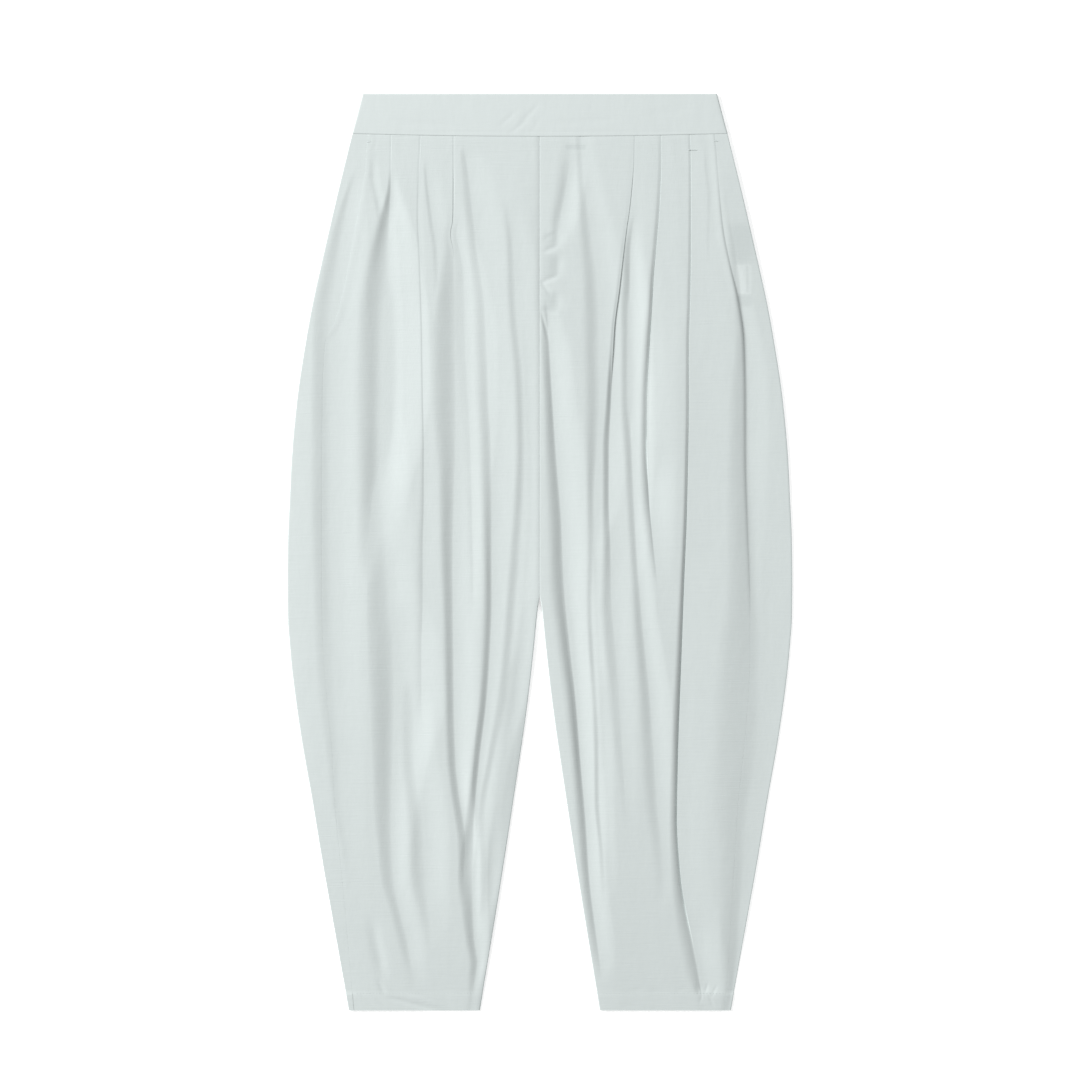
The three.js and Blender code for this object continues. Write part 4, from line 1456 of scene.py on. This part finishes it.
@dataclass
class Sewing:
    """The stitches that show: the hem's line and the bars at the pleat and the pocket mouths."""

    legs: tuple[LegCloth, LegCloth]
    thread: float = 0.00016  # its radius
    stitch: float = 0.0024
    pitch: float = 0.0034
    THREAD_LIFT = 0.7  # how far the thread's middle lies above the cloth, as a share of its radius
    THREAD_SIDES = 6
    STITCH_POINTS = 5
    END_SINK = 0.0003
    HEM_START = 0.002
    HEM_END = 0.008
    BAR_PITCH = 0.0005
    BAR_STITCH = (0.0003, 0.0016)
    BAR_SINK = 0.0002
    BARS = (  # name, leg, x, up and length
        ("pleat_bar_left", Side.LEFT, 0.1605, 0.9025, 0.009),
        ("pocket_bar_right", Side.RIGHT, 0.1790, 0.9110, 0.004),
        ("pocket_bar_left", Side.LEFT, 0.1850, 0.9120, 0.004),
    )

    def stitch_path(self, leg: LegCloth, start: Array, end: Array, sink: float) -> Array:
        """One stitch between two places, rounded and with its ends in the cloth.

        Args:
            leg: the leg that it is sewn on.
            start: x and height above the hem where it starts.
            end: the same where it ends.
            sink: how far its ends lie below its middle.

        Returns:
            The thread's middle line.
        """
        shares = np.linspace(0, 1, self.STITCH_POINTS)
        flat = start[None, :] + (end - start)[None, :] * shares[:, None]
        lift = CLOTH / 2 + self.thread * self.THREAD_LIFT - sink * (2 * shares - 1) ** 2
        heights = np.array([leg.surface_height(x, up) for x, up in flat])
        return np.stack([leg.side.value * flat[:, 0], flat[:, 1] - LENGTH / 2, heights + lift], axis=1)

    def hem_paths(self, leg: LegCloth) -> list[Array]:
        """The stitches along one hem.

        Args:
            leg: the leg that they are sewn on.

        Returns:
            The threads' middle lines.
        """
        inner = float(leg.inner[0]) + self.HEM_START
        outer = float(OUTER_HALF.at(HEM_DEPTH)) - self.HEM_END
        stitch = np.array([self.stitch, 0.0])
        starts = [np.array([inner + i * self.pitch, HEM_DEPTH])
                  for i in range(int((outer - inner) / self.pitch))]
        return [self.stitch_path(leg, start, start + stitch, self.END_SINK) for start in starts]

    def bar_paths(self, leg: LegCloth, x: float, up: float, length: float) -> list[Array]:
        """A bar of close stitches across a seam's end.

        Args:
            leg: the leg that it is sewn on.
            x: the bar's middle.
            up: its height above the hem.
            length: its length across.

        Returns:
            The threads' middle lines.
        """
        stitch = np.array(self.BAR_STITCH)
        starts = [np.array([x - length / 2 + i * self.BAR_PITCH, up - stitch[1] / 2])
                  for i in range(int(length / self.BAR_PITCH))]
        return [self.stitch_path(leg, start, start + stitch, self.BAR_SINK) for start in starts]

    def build(self, material: Material) -> None:
        """Makes all stitches, one piece for each hem and each bar.

        Args:
            material: the thread's finish.
        """
        legs = {leg.side: leg for leg in self.legs}
        jobs = [(f"hem_stitches_{leg.side.label}", self.hem_paths(leg)) for leg in self.legs]
        jobs += [(name, self.bar_paths(legs[side], x, up, length))
                 for name, side, x, up, length in self.BARS]
        for name, paths in jobs:
            piece = join_tubes(name, paths, self.thread, self.THREAD_SIDES)
            piece.data.materials.append(material)
            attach(piece, "root")
            LOG.info("%s: %d stitches", name, len(paths))


# ---- The studio ----


@dataclass
class Studio:
    """A plain pale floor, soft light from the upper left, and a camera straight above."""

    lens: float = 0.120
    sensor: float = 0.036
    key_watts: float = 900.0
    key_distance: float = 7.8
    key_size: float = 2.8
    key_height: float = 28.0  # degrees above the floor
    key_turn: float = 25.0  # degrees from straight left towards the waist
    world_strength: float = 0.52
    floor_half: float = 6.0
    floor_drop: float = 0.0002  # the floor lies this far below the frame's own
    floor_shade: Colour = (0.93, 0.93, 0.93)
    floor_colour: Colour = (0.95, 0.95, 0.95)
    floor_roughness: float = 0.9
    floor_specular: float = 0.1
    floor_glow: float = 0.45
    camera_x: float = 0.0003
    camera_y: float = 0.0126  # the garment lies this far below the picture's middle

    def build_floor(self) -> None:
        """Makes the pale floor that the garment lies on."""
        signs = ((-1, -1), (1, -1), (1, 1), (-1, 1))
        corners = np.array([(x * self.floor_half, y * self.floor_half, -self.floor_drop)
                            for x, y in signs])
        floor = new_mesh_object("floor", corners, np.array([[0, 1, 2, 3]]))
        board = MaterialBoard(
            "floor_paper",
            Roughness=self.floor_roughness,
            Specular_IOR_Level=self.floor_specular,
            Emission_Color=(1.0, 1.0, 1.0, 1.0),
            Emission_Strength=self.floor_glow,
        )
        grain = board.stretched_noise(board.place, PAPER_GRAIN, 2.0)
        board.blend(self.floor_shade, self.floor_colour, grain)
        floor.data.materials.append(board.material)

    def build_lights(self) -> None:
        """Adds the soft key light, low from the left, and the even light all round."""
        data = bpy.data.lights.new("key", "AREA")
        data.shape, data.size, data.energy = "SQUARE", self.key_size, self.key_watts
        lamp = bpy.data.objects.new("key", data)
        height, turn = math.radians(self.key_height), math.radians(self.key_turn)
        place = Vector((
            -math.cos(height) * math.cos(turn), math.cos(height) * math.sin(turn), math.sin(height)
        ))
        lamp.location = place * self.key_distance
        lamp.rotation_euler = place.to_track_quat("Z", "Y").to_euler()
        bpy.context.scene.collection.objects.link(lamp)
        world = bpy.data.worlds.new("studio")
        world.use_nodes = True
        background = world.node_tree.nodes["Background"]
        background.inputs["Color"].default_value = (1.0, 1.0, 1.0, 1.0)
        background.inputs["Strength"].default_value = self.world_strength
        bpy.context.scene.world = world

    def build_camera(self) -> None:
        """Puts the camera straight above, so that one pixel is METRES_PER_PIXEL."""
        data = bpy.data.cameras.new("camera")
        data.sensor_width = self.sensor * 1000
        data.lens = self.lens * 1000
        frame_width = FRAME_PIXELS * METRES_PER_PIXEL
        camera = bpy.data.objects.new("camera", data)
        height = frame_width * self.lens / self.sensor
        camera.location = (self.camera_x, self.camera_y, height)
        bpy.context.scene.collection.objects.link(camera)
        bpy.context.scene.camera = camera

    def build(self) -> None:
        """Makes the floor, the lights and the camera."""
        self.build_floor()
        self.build_lights()
        self.build_camera()
        view = bpy.context.scene.view_settings
        view.view_transform = "Standard"
        view.look = "None"


# ---- The whole garment ----

CLOTH_LIGHT: Colour = (0.588, 0.638, 0.630)
CLOTH_SHADE: Colour = (0.515, 0.563, 0.556)
BAND_LIGHT: Colour = (0.597, 0.647, 0.639)
BAND_SHADE: Colour = (0.534, 0.582, 0.575)
BAND_SLUB = 2.0
THREAD_LIGHT: Colour = (0.60, 0.65, 0.64)
THREAD_SHADE: Colour = (0.50, 0.55, 0.54)
BACK_BAND = (0.0, 0.0020)  # the lowest and the highest place of the waistband's back half
FRONT_BAND = (0.0023, 0.0037)
# The care label inside the left leg's side seam shows through as a lighter patch with a darker stripe at its
# right.
LABEL_AND_PAINTED_SHADE = (
    Patch(x=0.2143, up=0.7672, half_width=0.0081, half_height=0.0152, softness=0.0012, tone=0.45),
    Patch(x=0.2098, up=0.7672, half_width=0.0035, half_height=0.0140, softness=0.0012, tone=0.45),
    Patch(x=0.2177, up=0.7672, half_width=0.0013, half_height=0.0140, softness=0.0010, tone=-0.55),
    # Painted shade on the back panel's strip beyond the pocket mouth, above the label; the last patch is
    # darker below the label.
    Patch(x=0.2110, up=0.8050, half_width=0.0095, half_height=0.0180, softness=0.0090, tone=-0.75),
    Patch(x=0.2145, up=0.7445, half_width=0.0070, half_height=0.0050, softness=0.0035, tone=-0.80),
)
# Painted shade on the left leg's front: darker patches at the crease under the waistband and at the puckers
# beside the fly.
FLY_PAINTED_SHADE = (
    Patch(x=0.0376, up=0.9060, half_width=0.0105, half_height=0.0022, softness=0.0016, tone=-0.60),
    Patch(x=0.0110, up=0.8075, half_width=0.0075, half_height=0.0085, softness=0.0030, tone=-0.40),
    Patch(x=0.0110, up=0.7810, half_width=0.0080, half_height=0.0120, softness=0.0030, tone=-0.45),
    Patch(x=0.0100, up=0.7440, half_width=0.0072, half_height=0.0105, softness=0.0035, tone=-0.40),
)


def main() -> None:
    """Builds the garment round the frame, piece by piece."""
    logging.basicConfig(level=logging.INFO, format="%(message)s")
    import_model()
    groups = {
        "SlubWeave": build_slub_weave(),
        "SoftTone": build_soft_tone(),
        "SoftPatch": build_soft_patch(),
    }
    plain, fly_shaded, label_and_shade = [
        ClothFinish(name, CLOTH_LIGHT, CLOTH_SHADE, patches=patches).material(groups)
        for name, patches in (("satin_cloth", ()), ("satin_cloth_fly_shade", FLY_PAINTED_SHADE),
                              ("satin_cloth_label_and_shade", LABEL_AND_PAINTED_SHADE))
    ]
    banded = ClothFinish("waistband_cloth", BAND_LIGHT, BAND_SHADE, slub=BAND_SLUB).material(groups)
    thread = ThreadFinish("sewing_thread", THREAD_LIGHT, THREAD_SHADE).material()
    left, right = make_legs()
    left.build("front", left.front_middle(), fly_shaded)
    left.build("back", left.back_middle(), label_and_shade)
    right.build("front", right.front_middle(), plain)
    right.build("back", right.back_middle(), plain)
    Waistband("waistband_back", *BACK_BAND, ()).build(banded)
    Waistband("waistband_front", *FRONT_BAND, BAND_CREASES).build(banded)
    Sewing((left, right)).build(thread)
    Studio().build()


if __name__ == "__main__":
    main()
